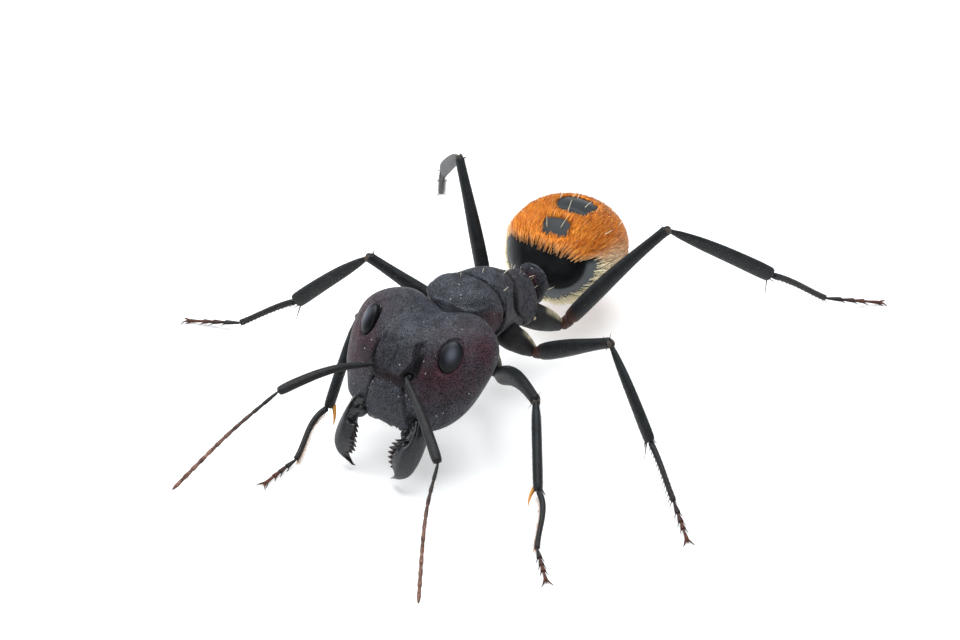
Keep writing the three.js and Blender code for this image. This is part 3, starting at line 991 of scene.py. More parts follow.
def build_jaw(side, sign):
    """One jaw: a spoon-shaped blade drawn to teeth along its inner edge, on a round joint."""
    rows, columns = 240, 30
    share = np.linspace(0.0, 1.0, rows)
    outer = smooth_path(JAW_OUTER, rows)
    inner, bite, tooth = jaw_inner_edge(share)
    across = (1.0 - np.cos(np.linspace(0.0, math.pi, columns))) / 2.0
    flat = outer[:, None] + (inner - outer)[:, None] * across[None, :, None]
    flat = flat + bite[:, None] * smoothstep(across, 0.66, 1.0)[None, :, None]
    x, y = flat[..., 0], flat[..., 1]
    lift = JAW_LIFT
    slope = smoothstep(y, lift["low"], lift["high"])
    middle = lift["height"] + lift["lean"] * (lift["hinge"] - x) * slope
    bend = 0.1 * smoothstep(share, 0.35, 0.8) + 0.36 * smoothstep(share, 0.78, 1.06) ** 1.3
    middle = middle - bend[:, None]
    rise = np.sqrt(np.clip(1.0 - (1.0 - across / 0.35) ** 2, 0.0, 1.0))
    fall = falloff(across, 0.3, 1.0)
    body = np.where(across < 0.35, rise, fall)
    slim = 1.0 - 0.6 * smoothstep(share, 0.6, 1.0)
    thick = 0.27 * body * slim[:, None]
    spoon = bell(across - 0.74, 0.17)[None, :] * bell(share - 0.42, 0.1)[:, None]
    pit = bell(across - 0.66, 0.1)[None, :] * bell(share - 0.29, 0.045)[:, None]
    upper = middle + thick - 0.13 * spoon - 0.16 * pit + 0.012
    lower = middle - thick * 0.85 - 0.012
    faces_up = np.stack([x, y, upper], axis=-1)
    faces_down = np.stack([x, y, lower], axis=-1)[:, ::-1]
    rings = np.concatenate([faces_up, faces_down], axis=1)
    turn = np.array(Matrix.Rotation(math.radians(JAW_OPEN[side]), 3, "Z"))
    mirror = np.array([sign, 1.0, 1.0])
    rings = ((rings - JAW_HINGE) @ turn.T + JAW_HINGE) * mirror
    both = np.concatenate([across, across[::-1]])[None, :]
    worn = both**5 * tooth[:, None] * 0.6
    # Black along the teeth and the spoon of the blade, partly painted shade in that hollow; the pit
    # near the base is painted shade; the base and tip are black.
    teeth = 0.9 * smoothstep(both, 0.6, 0.8) * smoothstep(share, 0.2, 0.34)[:, None]
    hollow = 1.2 * bell(both - 0.7, 0.28) * bell(share - 0.26, 0.09)[:, None]
    ends = np.maximum(falloff(share, 0.12, 0.24), 0.7 * smoothstep(share, 0.86, 0.94))
    groove = np.clip(np.maximum(np.maximum(teeth, hollow), ends[:, None]), 0.0, 1.0)
    points, faces = close_rings(rings)
    shape = Shape().add(
        HEAD.place(points),
        faces,
        worn=np.concatenate([worn.ravel(), [0.0, 0.0]]),
        groove=np.concatenate([groove.ravel(), [1.0, 1.0]]),
    )
    joint = ellipsoid(HEAD.place(JAW_HINGE * mirror), (0.33, 0.36, 0.28), HEAD.axes, 16)
    return shape.add(*joint, groove=1.0)


def build_mouth():
    """The lip, the closed mouth parts under it and their small feelers."""
    shape = Shape()
    for middle, size in (
        ((0.0, -1.94, 0.3), (0.46, 0.2, 0.12)),
        ((0.0, -1.86, 0.05), (0.4, 0.3, 0.3)),
        ((0.2, -2.0, 0.02), (0.13, 0.24, 0.14)),
        ((-0.2, -2.0, 0.02), (0.13, 0.24, 0.14)),
        ((0.74, -2.2, 0.34), (0.3, 0.26, 0.22)),
        ((-0.74, -2.0, 0.24), (0.3, 0.2, 0.2)),
    ):
        points, faces = ellipsoid(HEAD.place(np.array(middle)), size, HEAD.axes, 12)
        points = points + 0.02 * ripples(points, 0.12, 6)[:, None]
        shape.add(points, faces, groove=1.0)
    for sign in (1.0, -1.0):
        for offset, reach in ((0.34, 0.34), (0.14, 0.24)):
            joints = (
                (sign * offset, -1.95, -0.35),
                (sign * (offset + 0.08), -1.95 - reach * 0.5, -0.5),
                (sign * (offset + 0.02), -1.95 - reach, -0.6),
            )
            path = smooth_path(HEAD.place(np.array(joints)), 25)
            knots = np.abs(np.sin(np.linspace(0.0, 4.0 * math.pi, 25)))
            half = (0.022 + 0.012 * knots) * np.linspace(1.0, 0.7, 25)
            shape.add(*tube(path, HEAD.axes[:, 0], half, half, 10), worn=0.8)
    return shape


# ---- the trunk and waist ----


def band(part, start, end, rows, columns, tuck=(0.0, 0.0, 0.1)):
    """A ring of plate from one edge to another, its edges rounded in and closed inside.

    start and end give a place along the part for each angle, or None for its pole. tuck is
    how far the first and last edges lie below the surface, and how wide their bevel is.
    Returns points in the part's own frame, faces, and each point's share of the way across.
    """
    angle = np.linspace(-math.pi, math.pi, columns, endpoint=False)
    power = part.bluntness
    middle, half = (part.low + part.high) / 2.0, (part.high - part.low) / 2.0
    limits = []
    for edge, pole in ((start, -1.0), (end, 1.0)):
        if edge is None:
            limits.append(np.full(columns, pole * math.pi / 2.0 * 0.995))
        else:
            share = np.clip((edge(angle) - middle) / half, -1.0, 1.0)
            limits.append(np.sign(share) * np.arcsin(np.abs(share) ** (power / 2.0)))
    t = np.linspace(0.0, 1.0, rows)
    turn = limits[0] + (limits[1] - limits[0]) * t[:, None]
    along = middle + half * np.sign(turn) * np.abs(np.sin(turn)) ** (2.0 / power)
    points = part.surface(angle[None, :], along)
    axis = points.copy()
    axis[..., 0] = 0.0
    axis[..., 2] = points[..., 2].mean(axis=1, keepdims=True)
    inward = unit(axis - points)
    for edge, row, depth in ((start, 0, tuck[0]), (end, -1, tuck[1])):
        if edge is not None:
            near = falloff(np.abs(along - along[row]), 0.0, tuck[2])
            points = points + inward * (depth * near)[..., None]
    rims = []
    for edge, row, back in ((start, 0, 1.0), (end, -1, -1.0)):
        if edge is None:
            rims.append(np.empty((0, columns, 3)))
            continue
        rim = points[row] + inward[row] * np.array([0.015, 0.045, 0.1, 0.25])[:, None, None]
        rim[:2, :, 1] -= back * 0.012
        rims.append(rim)
    rings = np.concatenate([rims[0][::-1], points, rims[1]])
    share = np.concatenate([np.zeros(len(rims[0])), t, np.ones(len(rims[1]))])
    points, faces = close_rings(rings)
    return points, faces, np.concatenate([np.repeat(share, columns), [0.0, 1.0]])


def pronotal_suture(angle):
    """Where the first plate of the trunk ends, at each angle from the top."""
    return -0.8 + 0.17 * np.sin(angle) ** 2 - 0.2 * smoothstep(np.abs(angle), 1.6, 2.6)


def metanotal_groove(angle):
    """Where the second plate of the trunk ends, at each angle from the top."""
    turn = np.abs(angle)
    step = 0.36 * smoothstep(turn, 0.65, 1.15)
    return 0.57 - 0.12 * np.sin(angle) ** 2 - step + 0.86 * smoothstep(turn, 1.35, 2.2)


# Middles of the breathing hole on each side and of the swelling over the hind leg's root.
SPIRACLE = (1.25, 0.12)
HIP = (1.35, -0.75)


def trunk_relief(points):
    """Height of the trunk's relief, the painted shade of its grooves, and where its collar is."""
    x, y, z = points.T
    aside = np.abs(x)
    side = smoothstep(aside, 0.45, 0.8)
    # The sides of the collar lie deeper, under a raised lip.
    lip = follow(((-2.1, 0.42), (-1.8, 0.42), (-1.28, 0.5), (-0.7, 0.3), (0.2, -0.2)), y)[:, 0]
    front = falloff(y, -0.9, -0.6)
    below = smoothstep(lip - z, -0.02, 0.07)
    step = -0.09 * front * below
    height = 0.03 * front * bell(lip - z + 0.05, 0.05)
    # Three grooves on each side: upright, slanting and oblique.
    upright = y + 0.45 + 0.3 * (0.55 - z)
    height -= 0.05 * side * bell(upright, 0.04) * smoothstep(0.7 - z, 0.0, 0.15)
    slant = bell(z + 0.35 - 0.35 * (y - 0.2), 0.05)
    height -= 0.04 * side * slant * smoothstep(y, -0.5, -0.2) * falloff(y, 1.5, 1.8)
    oblique = y - 0.95 + 0.5 * z
    height -= 0.035 * side * bell(oblique, 0.04) * smoothstep(0.3 - z, 0.0, 0.2)
    # The breathing hole with its rim, the swelling over the leg, and the line underneath.
    spiracle = np.hypot((y - SPIRACLE[0]) / 0.09, (z - SPIRACLE[1]) / 0.14)
    height -= 0.05 * side * falloff(spiracle, 0.4, 1.0)
    height += 0.02 * side * bell(spiracle - 1.25, 0.25)
    hip = np.hypot((y - HIP[0]) / 0.55, (z - HIP[1]) / 0.45)
    height += 0.34 * smoothstep(aside, 0.15, 0.6) * bell(hip, 1.0)
    height -= 0.03 * bell(x, 0.03) * smoothstep(-z, 0.5, 0.8)
    # Painted shade: black in the grooves of the relief.
    groove = smoothstep(-height, 0.012, 0.05)
    shoulder = 0.2 * bell(away(aside, y, (0.72, -1.35), 0.9), 0.42) * smoothstep(z, 0.1, 0.5)
    uneven = 0.012 * ripples(points, 0.6, 11) + 0.005 * ripples(points, 0.2, 12)
    return height + step + shoulder + uneven, groove, front * below


# The pale opening over the root of each hind leg: its angle from the top in degrees, its
# place along the trunk and its height over the plain surface.
GLAND = {"angle": 122.0, "place": 1.42, "height": 0.27}


def gland_place(sign):
    """The middle of the pale opening over the root of one hind leg."""
    here, normals, _ = TRUNK.skin(np.radians([GLAND["angle"] * sign]), np.array([GLAND["place"]]))
    return TRUNK.place(here + normals * GLAND["height"])[0]


def clear_of_head(points):
    """Draws points of the trunk that would reach into the head back towards its own axis."""
    reach = HEAD.inside(TRUNK.place(points))
    close = np.clip((1.06 - reach) / 0.3, 0.0, 1.0) * (points[:, 1] < -0.8)
    moved = points.copy()
    moved[:, 0] *= 1.0 - 0.55 * close
    moved[:, 2] = points[:, 2] * (1.0 - 0.5 * close) - 0.12 * close
    return moved


def build_trunk_plate(start, end, rows, blush):
    """One plate of the trunk with its grooves, as a closed shape, with painted shade in the grooves
    and at its front seam and a painted highlight along its rear edge.
    """
    points, faces, share = band(TRUNK, start, end, rows, 150, tuck=(0.22, 0.06, 0.1))
    normals = vertex_normals(points, faces)
    height, groove, collar = trunk_relief(points)
    points = clear_of_head(points + normals * height[:, None])
    # Painted shade in the seam where this plate meets the one before it.
    if start:
        groove = np.maximum(groove, falloff(share, 0.0, 0.06))
    # Painted highlight: a faint pale line along the plate's rear edge.
    lip = smoothstep(share, 0.972, 0.985) * (0.07 if end else 0.0)
    aside = smoothstep(np.abs(points[:, 0]), 0.2, 0.7)
    red = np.maximum(blush * smoothstep(0.6 - points[:, 2], 0.0, 0.5) * aside, collar)
    red = np.clip(red * (0.8 + 0.4 * ripples(points, 0.3, 13)), 0.0, 1.0)
    return Shape().add(TRUNK.place(points), faces, blush=red, groove=groove, pale=lip)


def build_neck():
    """Points and faces of the narrow neck between trunk and head."""
    start = HEAD.place(np.array([0.0, 0.95, -0.75]))
    end = TRUNK.place(np.array([0.0, -1.5, -0.1]))
    rows = ((0.0, 0.42, 0.34), (0.4, 0.36, 0.3), (1.0, 0.6, 0.5))
    return limb(start, end, rows, ACROSS, rings=20, sides=28)[:2]


def build_waist():
    """The upright scale of the waist on its short stalk."""
    points, faces, _ = band(WAIST, None, None, 46, 60)
    x, y, _ = points.T
    normals = vertex_normals(points, faces)
    rim = smoothstep(y, 0.2, 0.5)
    height = -0.03 * bell(x, 0.3) * rim * smoothstep(np.abs(normals[:, 2]), 0.4, 0.8)
    height += 0.005 * ripples(points, 0.4, 21)
    points = points + normals * height[:, None]
    blush = 0.75 * smoothstep(0.42 - np.abs(x), 0.0, 0.25) * falloff(y, 0.35, 0.6)
    shape = Shape().add(WAIST.place(points), faces, blush=blush)
    rows = ((0.0, 0.36, 0.3), (0.5, 0.26, 0.24), (1.0, 0.3, 0.3))
    stalks = (
        ((0.0, 2.05, 2.3), (0.0, 2.6, 2.18)),
        ((0.0, 2.5, 2.25), REAR.place(np.array([0.0, 0.12, -0.12]))),
    )
    for start, end in stalks:
        points, faces, _ = limb(start, end, rows, ACROSS, rings=16, sides=24)
        shape.add(points, faces, blush=0.2)
    return shape


# ---- the rear body and its coat ----

# Where the coat begins at each angle from the top towards the left, and the two bare
# patches: their middle and half size across and along the body.
FRONT_EDGE = (
    (-180.0, 0.45), (-125.0, 0.62), (-105.0, 1.1), (-92.0, 1.42), (-78.0, 1.35), (-66.0, 1.1),
    (-56.0, 0.75), (-48.0, 0.6), (-32.0, 0.47), (-15.0, 0.4), (0.0, 0.36), (28.0, 0.35),
    (45.0, 0.42), (57.0, 0.5), (63.0, 0.64), (67.0, 0.87), (75.0, 0.95), (88.0, 0.92),
    (104.0, 0.76), (125.0, 0.6), (150.0, 0.48), (180.0, 0.45),
)
BARE_PATCHES = ((0.06, 0.98, 0.44, 0.27), (0.24, 2.2, 0.58, 0.64))


def front_edge(angle):
    """Where the coat of the rear body begins, at each angle from the top."""
    return follow(FRONT_EDGE, np.degrees(angle))[..., 0]


def bare_patch(angle, along):
    """Below 1 inside the bare patches, and how far behind a root the next patch begins."""
    far = 9.0
    power = 3.0
    x = np.sin(angle) * follow(REAR.rows, along)[..., 0] * REAR.ends(along)
    above = np.cos(angle) > 0.0
    nearness = np.full(len(x), far)
    room = np.full(len(x), far)
    for middle_x, middle_y, half_x, half_y in BARE_PATCHES:
        aside = np.abs((x - middle_x) / half_x)
        reach = (aside**power + np.abs((along - middle_y) / half_y) ** power) ** (1.0 / power)
        nearness = np.minimum(nearness, np.where(above, reach, far))
        front = middle_y - half_y * np.maximum(1.0 - aside**power, 0.0) ** (1.0 / power)
        ahead = (aside < 1.0) & (along < middle_y) & above
        room = np.minimum(room, np.where(ahead, np.maximum(front - along, 0.0), far))
    return nearness, room


def hair_tone(angle, along):
    """0 for orange hair and 1 for the cream hair low on the front of the sides."""
    turn = np.abs(np.degrees(angle))
    low = smoothstep(turn, 56.0, 92.0)
    return low * (1.0 - 0.75 * smoothstep(along, 1.0, 2.6))


def build_tergite(number):
    """One plate of the rear body, its rear edge standing over the next plate."""
    start, end = TERGITE_EDGES[number], TERGITE_EDGES[number + 1]
    overlap = 0.04
    first = number == 0
    last = number == len(TERGITE_EDGES) - 2
    edges = (
        None if first else (lambda angle: np.full_like(angle, start - overlap)),
        None if last else (lambda angle: np.full_like(angle, end + overlap)),
    )
    points, faces, _ = band(REAR, *edges, 60 if first else 34, 130, tuck=(0.06, 0.012, 0.25))
    normals = vertex_normals(points, faces)
    x, y, z = points.T
    around = np.abs(np.arctan2(x, z - 0.1))
    height = -0.035 * smoothstep(around, 1.95, 2.02) + 0.02 * bell(around - 1.93, 0.05)
    height = height * smoothstep(y, 0.5, 1.0)
    height += 0.01 * ripples(points, 0.8, 31) + 0.003 * ripples(points, 0.25, 32)
    points = points + normals * height[:, None]
    # Painted sheen: the bare trait makes the sides grey, strongly on the left and faintly on the
    # right, and greys the bare patches a little.
    beyond = np.abs(np.degrees(np.arctan2(x, z))) - 70.0 - 110.0 * np.maximum(0.77 - y, 0.0)
    side = smoothstep(beyond, -5.0, 5.0) * falloff(y, 1.5, 1.9)
    side = side * np.where(x > 0.0, 0.9, 0.14)
    wide, top, bottom = follow(REAR.rows, y).T
    angle = np.arctan2(x / wide, (2.0 * z - top - bottom) / (top - bottom))
    reach, _ = bare_patch(angle, y)
    # Painted shade of the coat: a dark orange laid on the shell under the hair.
    coated = smoothstep(y - front_edge(angle), 0.06, 0.2) * smoothstep(reach, 1.0, 1.12)
    coated = coated * (1.0 - hair_tone(angle, y))
    bare = np.maximum(side, 0.25 * falloff(reach, 0.9, 1.1))
    return Shape().add(REAR.place(points), faces, bare=bare, coated=coated)


def coat_roots(count, seed):
    """Evenly scattered places on the rear body, as angles and places along it."""
    rng = np.random.default_rng(seed)
    angle = rng.uniform(-math.pi, math.pi, 4 * count)
    along = rng.uniform(0.3, REAR.high - 0.01, 4 * count)
    step = 0.01
    aside = REAR.surface(angle + step, along) - REAR.surface(angle - step, along)
    ahead = REAR.surface(angle, along + step) - REAR.surface(angle, along - step)
    area = np.linalg.norm(np.cross(aside, ahead), axis=1)
    kept = rng.uniform(0.0, 1.0, len(area)) < area / np.quantile(area, 0.98)
    return angle[kept][:count], along[kept][:count]


def combed(angle, along, normals, ahead, rng, spread):
    """The way that each hair lies: backwards, a little aside, and never straight."""
    aside = unit(np.cross(normals, ahead))
    swirl = 0.1 * np.sin(3.0 * angle + 1.0) * np.sin(1.7 * along)
    parting = 0.2 - 0.3 * np.clip(angle / 0.7, -1.0, 1.0)
    lean = rng.normal(0.0, spread, len(angle)) + swirl - parting * falloff(along, 0.6, 1.8)
    return unit(ahead + aside * lean[:, None])


def build_coat(settings):
    """The lying coat, as one shape for each of the plates it grows on."""
    rng = np.random.default_rng(7)
    angle, along = coat_roots(settings.hairs, 6)
    places = np.stack([angle * 1.6, along, np.zeros(len(angle))], axis=1)
    ragged = 0.05 * ripples(places, 0.12, 33)
    behind = along - front_edge(angle) - ragged
    reach, _ = bare_patch(angle, along)
    thin = np.where(behind < 0.13, 0.2, 0.72) * np.where(reach < 1.12, 0.5, 1.0)
    low = smoothstep(np.abs(np.degrees(angle)), 62.0, 84.0) * falloff(along, 1.2, 2.2)
    thin = thin * (1.0 - 0.35 * low)
    edge = reach + 0.1 * ripples(places, 0.1, 34) + rng.normal(0.0, 0.05, len(angle))
    keep = (behind > 0.0) & (edge > 1.0) & (rng.uniform(0.0, 1.0, len(angle)) < thin)
    angle, along, places, behind, low = (some[keep] for some in (angle, along, places, behind, low))
    _, room = bare_patch(angle, along)
    here, normals, ahead = REAR.skin(angle, along)
    count = len(angle)
    fringe = falloff(behind, 0.1, 0.24)
    ways = combed(angle, along, normals, ahead, rng, 0.2 - 0.1 * fringe)
    length = settings.hair_length / MM * rng.uniform(0.5, 1.05, count)
    length = np.minimum(length * (1.0 + 0.3 * low), np.maximum(room + 0.06, 0.14))
    lift = rng.uniform(0.1, 0.42, count) + 0.05 * fringe
    width = settings.hair_width / MM * rng.uniform(0.75, 1.3, count) * (1.0 + 0.2 * fringe)
    clump = ripples(places, 0.13, 35) + 0.7 * ripples(places, 0.05, 36)
    shade = 0.42 + 0.28 * clump + rng.normal(0.0, 0.36, count) + 0.3 * fringe
    tone = hair_tone(angle, along) + 0.04 * fringe + rng.normal(0.0, 0.05, count)
    shade, tone = np.clip(shade, 0.0, 1.0), np.clip(tone, 0.0, 1.0)
    u, v = unwrap(REAR, angle, along)
    parts = []
    for first, last in zip(TERGITE_EDGES[:-1], TERGITE_EDGES[1:]):
        k = (along >= first) & (along < last)
        shape = hair_shape(
            REAR, here[k], ways[k], normals[k], tone[k], shade[k], (u[k], v[k]),
            fade=0.3 * fringe[k], length=length[k], width=width[k], rise=lift[k],
            droop=lift[k] * 0.45,
        )
        parts.append(shape)
    return parts


def build_rear_bristles():
    """Long pale hairs that stand over the coat and cross the bare patches."""
    rng = np.random.default_rng(9)
    places = [(-8.0, 0.92), (9.0, 0.98), (-11.0, 2.35), (18.0, 2.15), (4.0, 2.6)]
    for along in (1.6, 2.66, 3.4, 3.95):
        for turn in np.arange(-150.0, 151.0, 42.0 + 10.0 * rng.uniform()):
            places.append((turn + rng.uniform(-6.0, 6.0), along + rng.uniform(-0.05, 0.05)))
    angle, along = np.array(places).T
    angle = np.radians(angle)
    here, normals, ahead = REAR.skin(angle, along)
    ways = combed(angle, along, normals, ahead, rng, 0.3)
    count = len(angle)
    tone = rng.uniform(0.4, 0.9, count)
    shade = rng.uniform(0.5, 1.0, count)
    return hair_shape(
        REAR, here, ways, normals, tone, shade, unwrap(REAR, angle, along), rings=4,
        length=rng.uniform(0.3, 0.44, count), width=0.026, rise=rng.uniform(0.5, 0.9, count),
        droop=0.25, depth=0.8,
    )


# ---- legs and feelers ----


def leg_joints(pair, side):
    """The joints of a leg, from the start of its coxa to the tip of its foot."""
    coxa, hip, headings, slopes = LEGS[pair, side]
    sign = dict(SIDES)[side]
    joints = [np.array(coxa), np.array(hip)]
    lengths = list(LEG_LENGTHS[pair])
    if (pair, side) == ("fore", "right"):
        lengths[0] *= FORE_RIGHT_SHORTER
    for length, heading, slope in zip(lengths, headings, slopes):
        turn, rise = math.radians(heading), math.radians(slope)
        level = math.cos(rise)
        step = (sign * math.cos(turn) * level, math.sin(turn) * level, math.sin(rise))
        joints.append(joints[-1] + np.array(step) * length)
    joints[-1][2] = FOOT_HEIGHT
    return joints


def sideways(before, after):
    """The direction along a limb, the level one across it, and the one over it."""
    way = unit(after - before)
    across = unit(np.cross(way, np.array([0.0, 0.0, 1.0])))
    over = np.cross(across, way)
    return way, across, over


# Half width and half height of the pieces of a leg at shares of their length.
LIMB_ROWS = {
    "coxa": ((0.0, 0.38, 0.4), (0.4, 0.38, 0.4), (0.75, 0.26, 0.29), (0.93, 0.16, 0.18),
             (1.0, 0.15, 0.16)),
    "femur": ((0.0, 0.14, 0.16), (0.06, 0.175, 0.21), (0.2, 0.19, 0.23), (0.45, 0.18, 0.215),
              (0.72, 0.145, 0.165), (0.93, 0.125, 0.14), (1.0, 0.13, 0.15)),
    "tibia": ((0.0, 0.075, 0.08), (0.04, 0.065, 0.07), (0.14, 0.095, 0.13), (0.36, 0.13, 0.2),
              (0.75, 0.15, 0.24), (0.96, 0.145, 0.235), (1.0, 0.11, 0.19)),
    "basitarsus": ((0.0, 0.085, 0.09), (0.1, 0.092, 0.1), (0.7, 0.08, 0.09), (1.0, 0.085, 0.095)),
}
FORE_TIBIA = ((0.0, 0.11, 0.11), (0.05, 0.1, 0.11), (0.2, 0.14, 0.17), (0.6, 0.15, 0.19),
              (0.94, 0.145, 0.19), (1.0, 0.12, 0.16))
# How many times thicker than these rows the femur of each pair of legs is, and its bow.
FEMUR_BULK = {"fore": (1.3, 0.3), "mid": (1.2, 0.02), "hind": (1.15, 0.08)}
# The ways that the short bristles round each knee point: across the leg and over it.
KNEE_BRISTLES = ((1.0, 0.5), (0.5, 1.0), (-0.7, 0.9), (1.0, -0.7))
TIBIA_BOW = 0.04
# How far the basitarsus bends upwards and outwards near its start.
BASITARSUS_BOW = {"fore": (0.06, 0.15), "mid": (0.04, 0.02), "hind": (0.06, 0.02)}


def outwards(across, joints):
    """The way across a limb that points away from the body."""
    return across * np.sign(across[0] * joints[0][0])


def femur_rows(pair):
    """Rows of the femur of a pair of legs."""
    bulk = FEMUR_BULK[pair][0]
    return [(t, wide * bulk, tall * bulk) for t, wide, tall in LIMB_ROWS["femur"]]


def tibia_rows(pair):
    """Rows of the tibia of a pair of legs."""
    return FORE_TIBIA if pair == "fore" else LIMB_ROWS["tibia"]


def spike(base, tip, radius, sag=0.0, way=None, sides=7):
    """A curved thorn from its base to its tip."""
    base, tip = np.asarray(base), np.asarray(tip)
    t = np.linspace(0.0, 1.0, 9)
    bend = np.zeros(3) if way is None else np.asarray(way)
    path = base + (tip - base) * t[:, None] + bend * (sag * np.sin(math.pi * t))[:, None]
    half = radius * (1.0 - t) ** 0.7 + 0.002
    across = np.cross(tip - base, np.array([0.13, 0.29, 1.0]))
    return tube(path, unit(across), half, half, sides)


def build_coxa(joints, sign):
    """The thick first piece of a leg, rooted in the trunk, with a pale rim behind."""
    way, across, _ = sideways(joints[0], joints[1])
    root = joints[0] + np.array([-0.12 * sign, 0.0, 0.3])
    tip = joints[1] + way * 0.02
    points, faces, along = limb(root, tip, LIMB_ROWS["coxa"], across, 60, 40, blunt=(0.2, 0.06))
    line = root + (joints[1] - root) * along[:, None]
    behind = np.array([0.5 * sign, 0.6, 0.6])
    facing = unit(points - line) @ unit(behind - way * (behind @ way))
    pale = smoothstep(facing, 0.8, 0.94) * smoothstep(along, 0.42, 0.55)
    swell = 0.03 * pale + 0.012 * ripples(points, 0.3, 41)
    points = points + unit(points - line) * swell[:, None]
    pale = np.clip(pale * (0.7 + 0.5 * ripples(points, 0.07, 42)), 0.0, 1.0)
    return Shape().add(points, faces, rust=0.04 + 0.3 * smoothstep(along, 0.85, 1.0), pale=pale)


def build_femur(joints, pair):
    """The femur with its small inner ring, its bowed back and its two knee lobes."""
    hip, knee = joints[1:3]
    way, across, over = sideways(hip, knee)
    shape = Shape()
    rows = ((0.0, 0.13, 0.14), (0.35, 0.16, 0.175), (0.8, 0.18, 0.2), (1.0, 0.16, 0.18))
    ends = (hip - way * 0.06, hip + way * 0.4)
    points, faces, _ = limb(*ends, rows, across, 16, 20, blunt=(0.25, 0.2))
    shape.add(points, faces, rust=0.55)
    ends = (hip + way * 0.24, knee + way * 0.05)
    points, faces, along = limb(
        *ends, femur_rows(pair), across, 44, 24, bow=FEMUR_BULK[pair][1], blunt=(0.05, 0.035)
    )
    shape.add(points, faces, rust=0.65 * falloff(along, 0.03, 0.13))
    axes = np.stack([across, way, over], 1)
    for sign in (1.0, -1.0):
        middle = knee - way * 0.01 + across * sign * 0.07 - over * 0.03
        shape.add(*ellipsoid(middle, (0.055, 0.12, 0.12), axes, 8), rust=0.25, pale=0.12)
    for aside, rise in KNEE_BRISTLES:
        reach = across * aside + over * rise
        base = knee - way * 0.07 + reach * 0.08
        shape.add(*spike(base, base + way * 0.06 + reach * 0.2, 0.011, sides=4), rust=0.2)
    return shape


def build_tibia(joints, pair, rng):
    """The tibia, narrow at the knee and flat and broad below, with its spur and spines."""
    knee, end = joints[2:4]
    way, across, over = sideways(knee, end)
    shape = Shape()
    points, faces, along = limb(
        knee - way * 0.02, end + way * 0.04, tibia_rows(pair), across, 60, 24,
        bow=TIBIA_BOW, blunt=(0.02, 0.018),
    )
    shape.add(points, faces, rust=0.1 * falloff(along, 0.0, 0.08))
    if pair == "fore":
        inner = -outwards(across, joints)
        base = end + inner * 0.1 - over * 0.06 - way * 0.1
        tip = end + way * 0.48 + inner * 0.3 - over * 0.08
        shape.add(*spike(base, tip, 0.07, 0.04, inner), rust=0.3, amber=1.0)
    else:
        base = end - over * 0.16 - way * 0.06
        shape.add(*spike(base, base + way * 0.1 - np.array([0.0, 0.2, 0.52]), 0.022), rust=0.15)
    for sign in (1.0, -1.0):
        for drop in (0.1, 0.02):
            base = end + across * sign * 0.12 - over * drop - way * 0.03
            shape.add(*spike(base, base + way * 0.19 + across * sign * 0.1, 0.016), rust=0.2)
    for t in np.arange(0.35, 0.95, 0.06):
        base = knee + (end - knee) * t - over * (0.11 + 0.08 * t - TIBIA_BOW)
        tip = base + way * 0.14 - over * 0.07 + across * rng.uniform(-0.03, 0.03)
        shape.add(*spike(base, tip, 0.012), rust=0.5)
    return shape


def build_basitarsus(joints, pair, rng):
    """The long first piece of the foot, with rows of short bristles under it."""
    start, end = joints[3:5]
    way, across, over = sideways(start, end)
    shape = Shape()
    rise, out = BASITARSUS_BOW[pair]
    outer = outwards(across, joints)
    t = np.linspace(0.0, 1.0, 34)
    bend = (t * (1.0 - t) ** 2 * 6.75)[:, None]
    path = start + way * 0.02 + (end - start) * t[:, None] + (over * rise + outer * out) * bend
    points, faces, along = stem(path, t, LIMB_ROWS["basitarsus"], across, 16, (0.03, 0.03))
    shape.add(points, faces, rust=0.12 * along)
    # The fore foot has a close amber comb on its inner side, the others two sparse rows.
    bristles, sides, amber = (34, (-1.0, -0.4), 0.8) if pair == "fore" else (14, (1.0, -1.0), 0.0)
    for place in np.linspace(0.08, 0.97, bristles):
        root = np.array([np.interp(place, t, path[:, axis]) for axis in range(3)])
        for side in sides:
            base = root - over * 0.06 + outer * side * 0.055
            slack = rng.uniform(0.85, 1.25)
            tip = base + (way * 0.12 - over * 0.06 + outer * side * 0.09) * slack
            shape.add(*spike(base, tip, 0.012, sides=4), rust=0.3, amber=amber)
    return shape


# Lengths of the four short pieces of a foot as shares, and their rows: three alike, one last.
TARSUS_SHARES = (0.3, 0.23, 0.19, 0.28)
TARSUS_ROWS = ((0.0, 0.035, 0.038), (0.25, 0.048, 0.048), (0.88, 0.088, 0.066), (1.0, 0.08, 0.05))
CLAW_ROWS = ((0.0, 0.03, 0.035), (0.4, 0.045, 0.045), (0.9, 0.065, 0.055), (1.0, 0.06, 0.05))


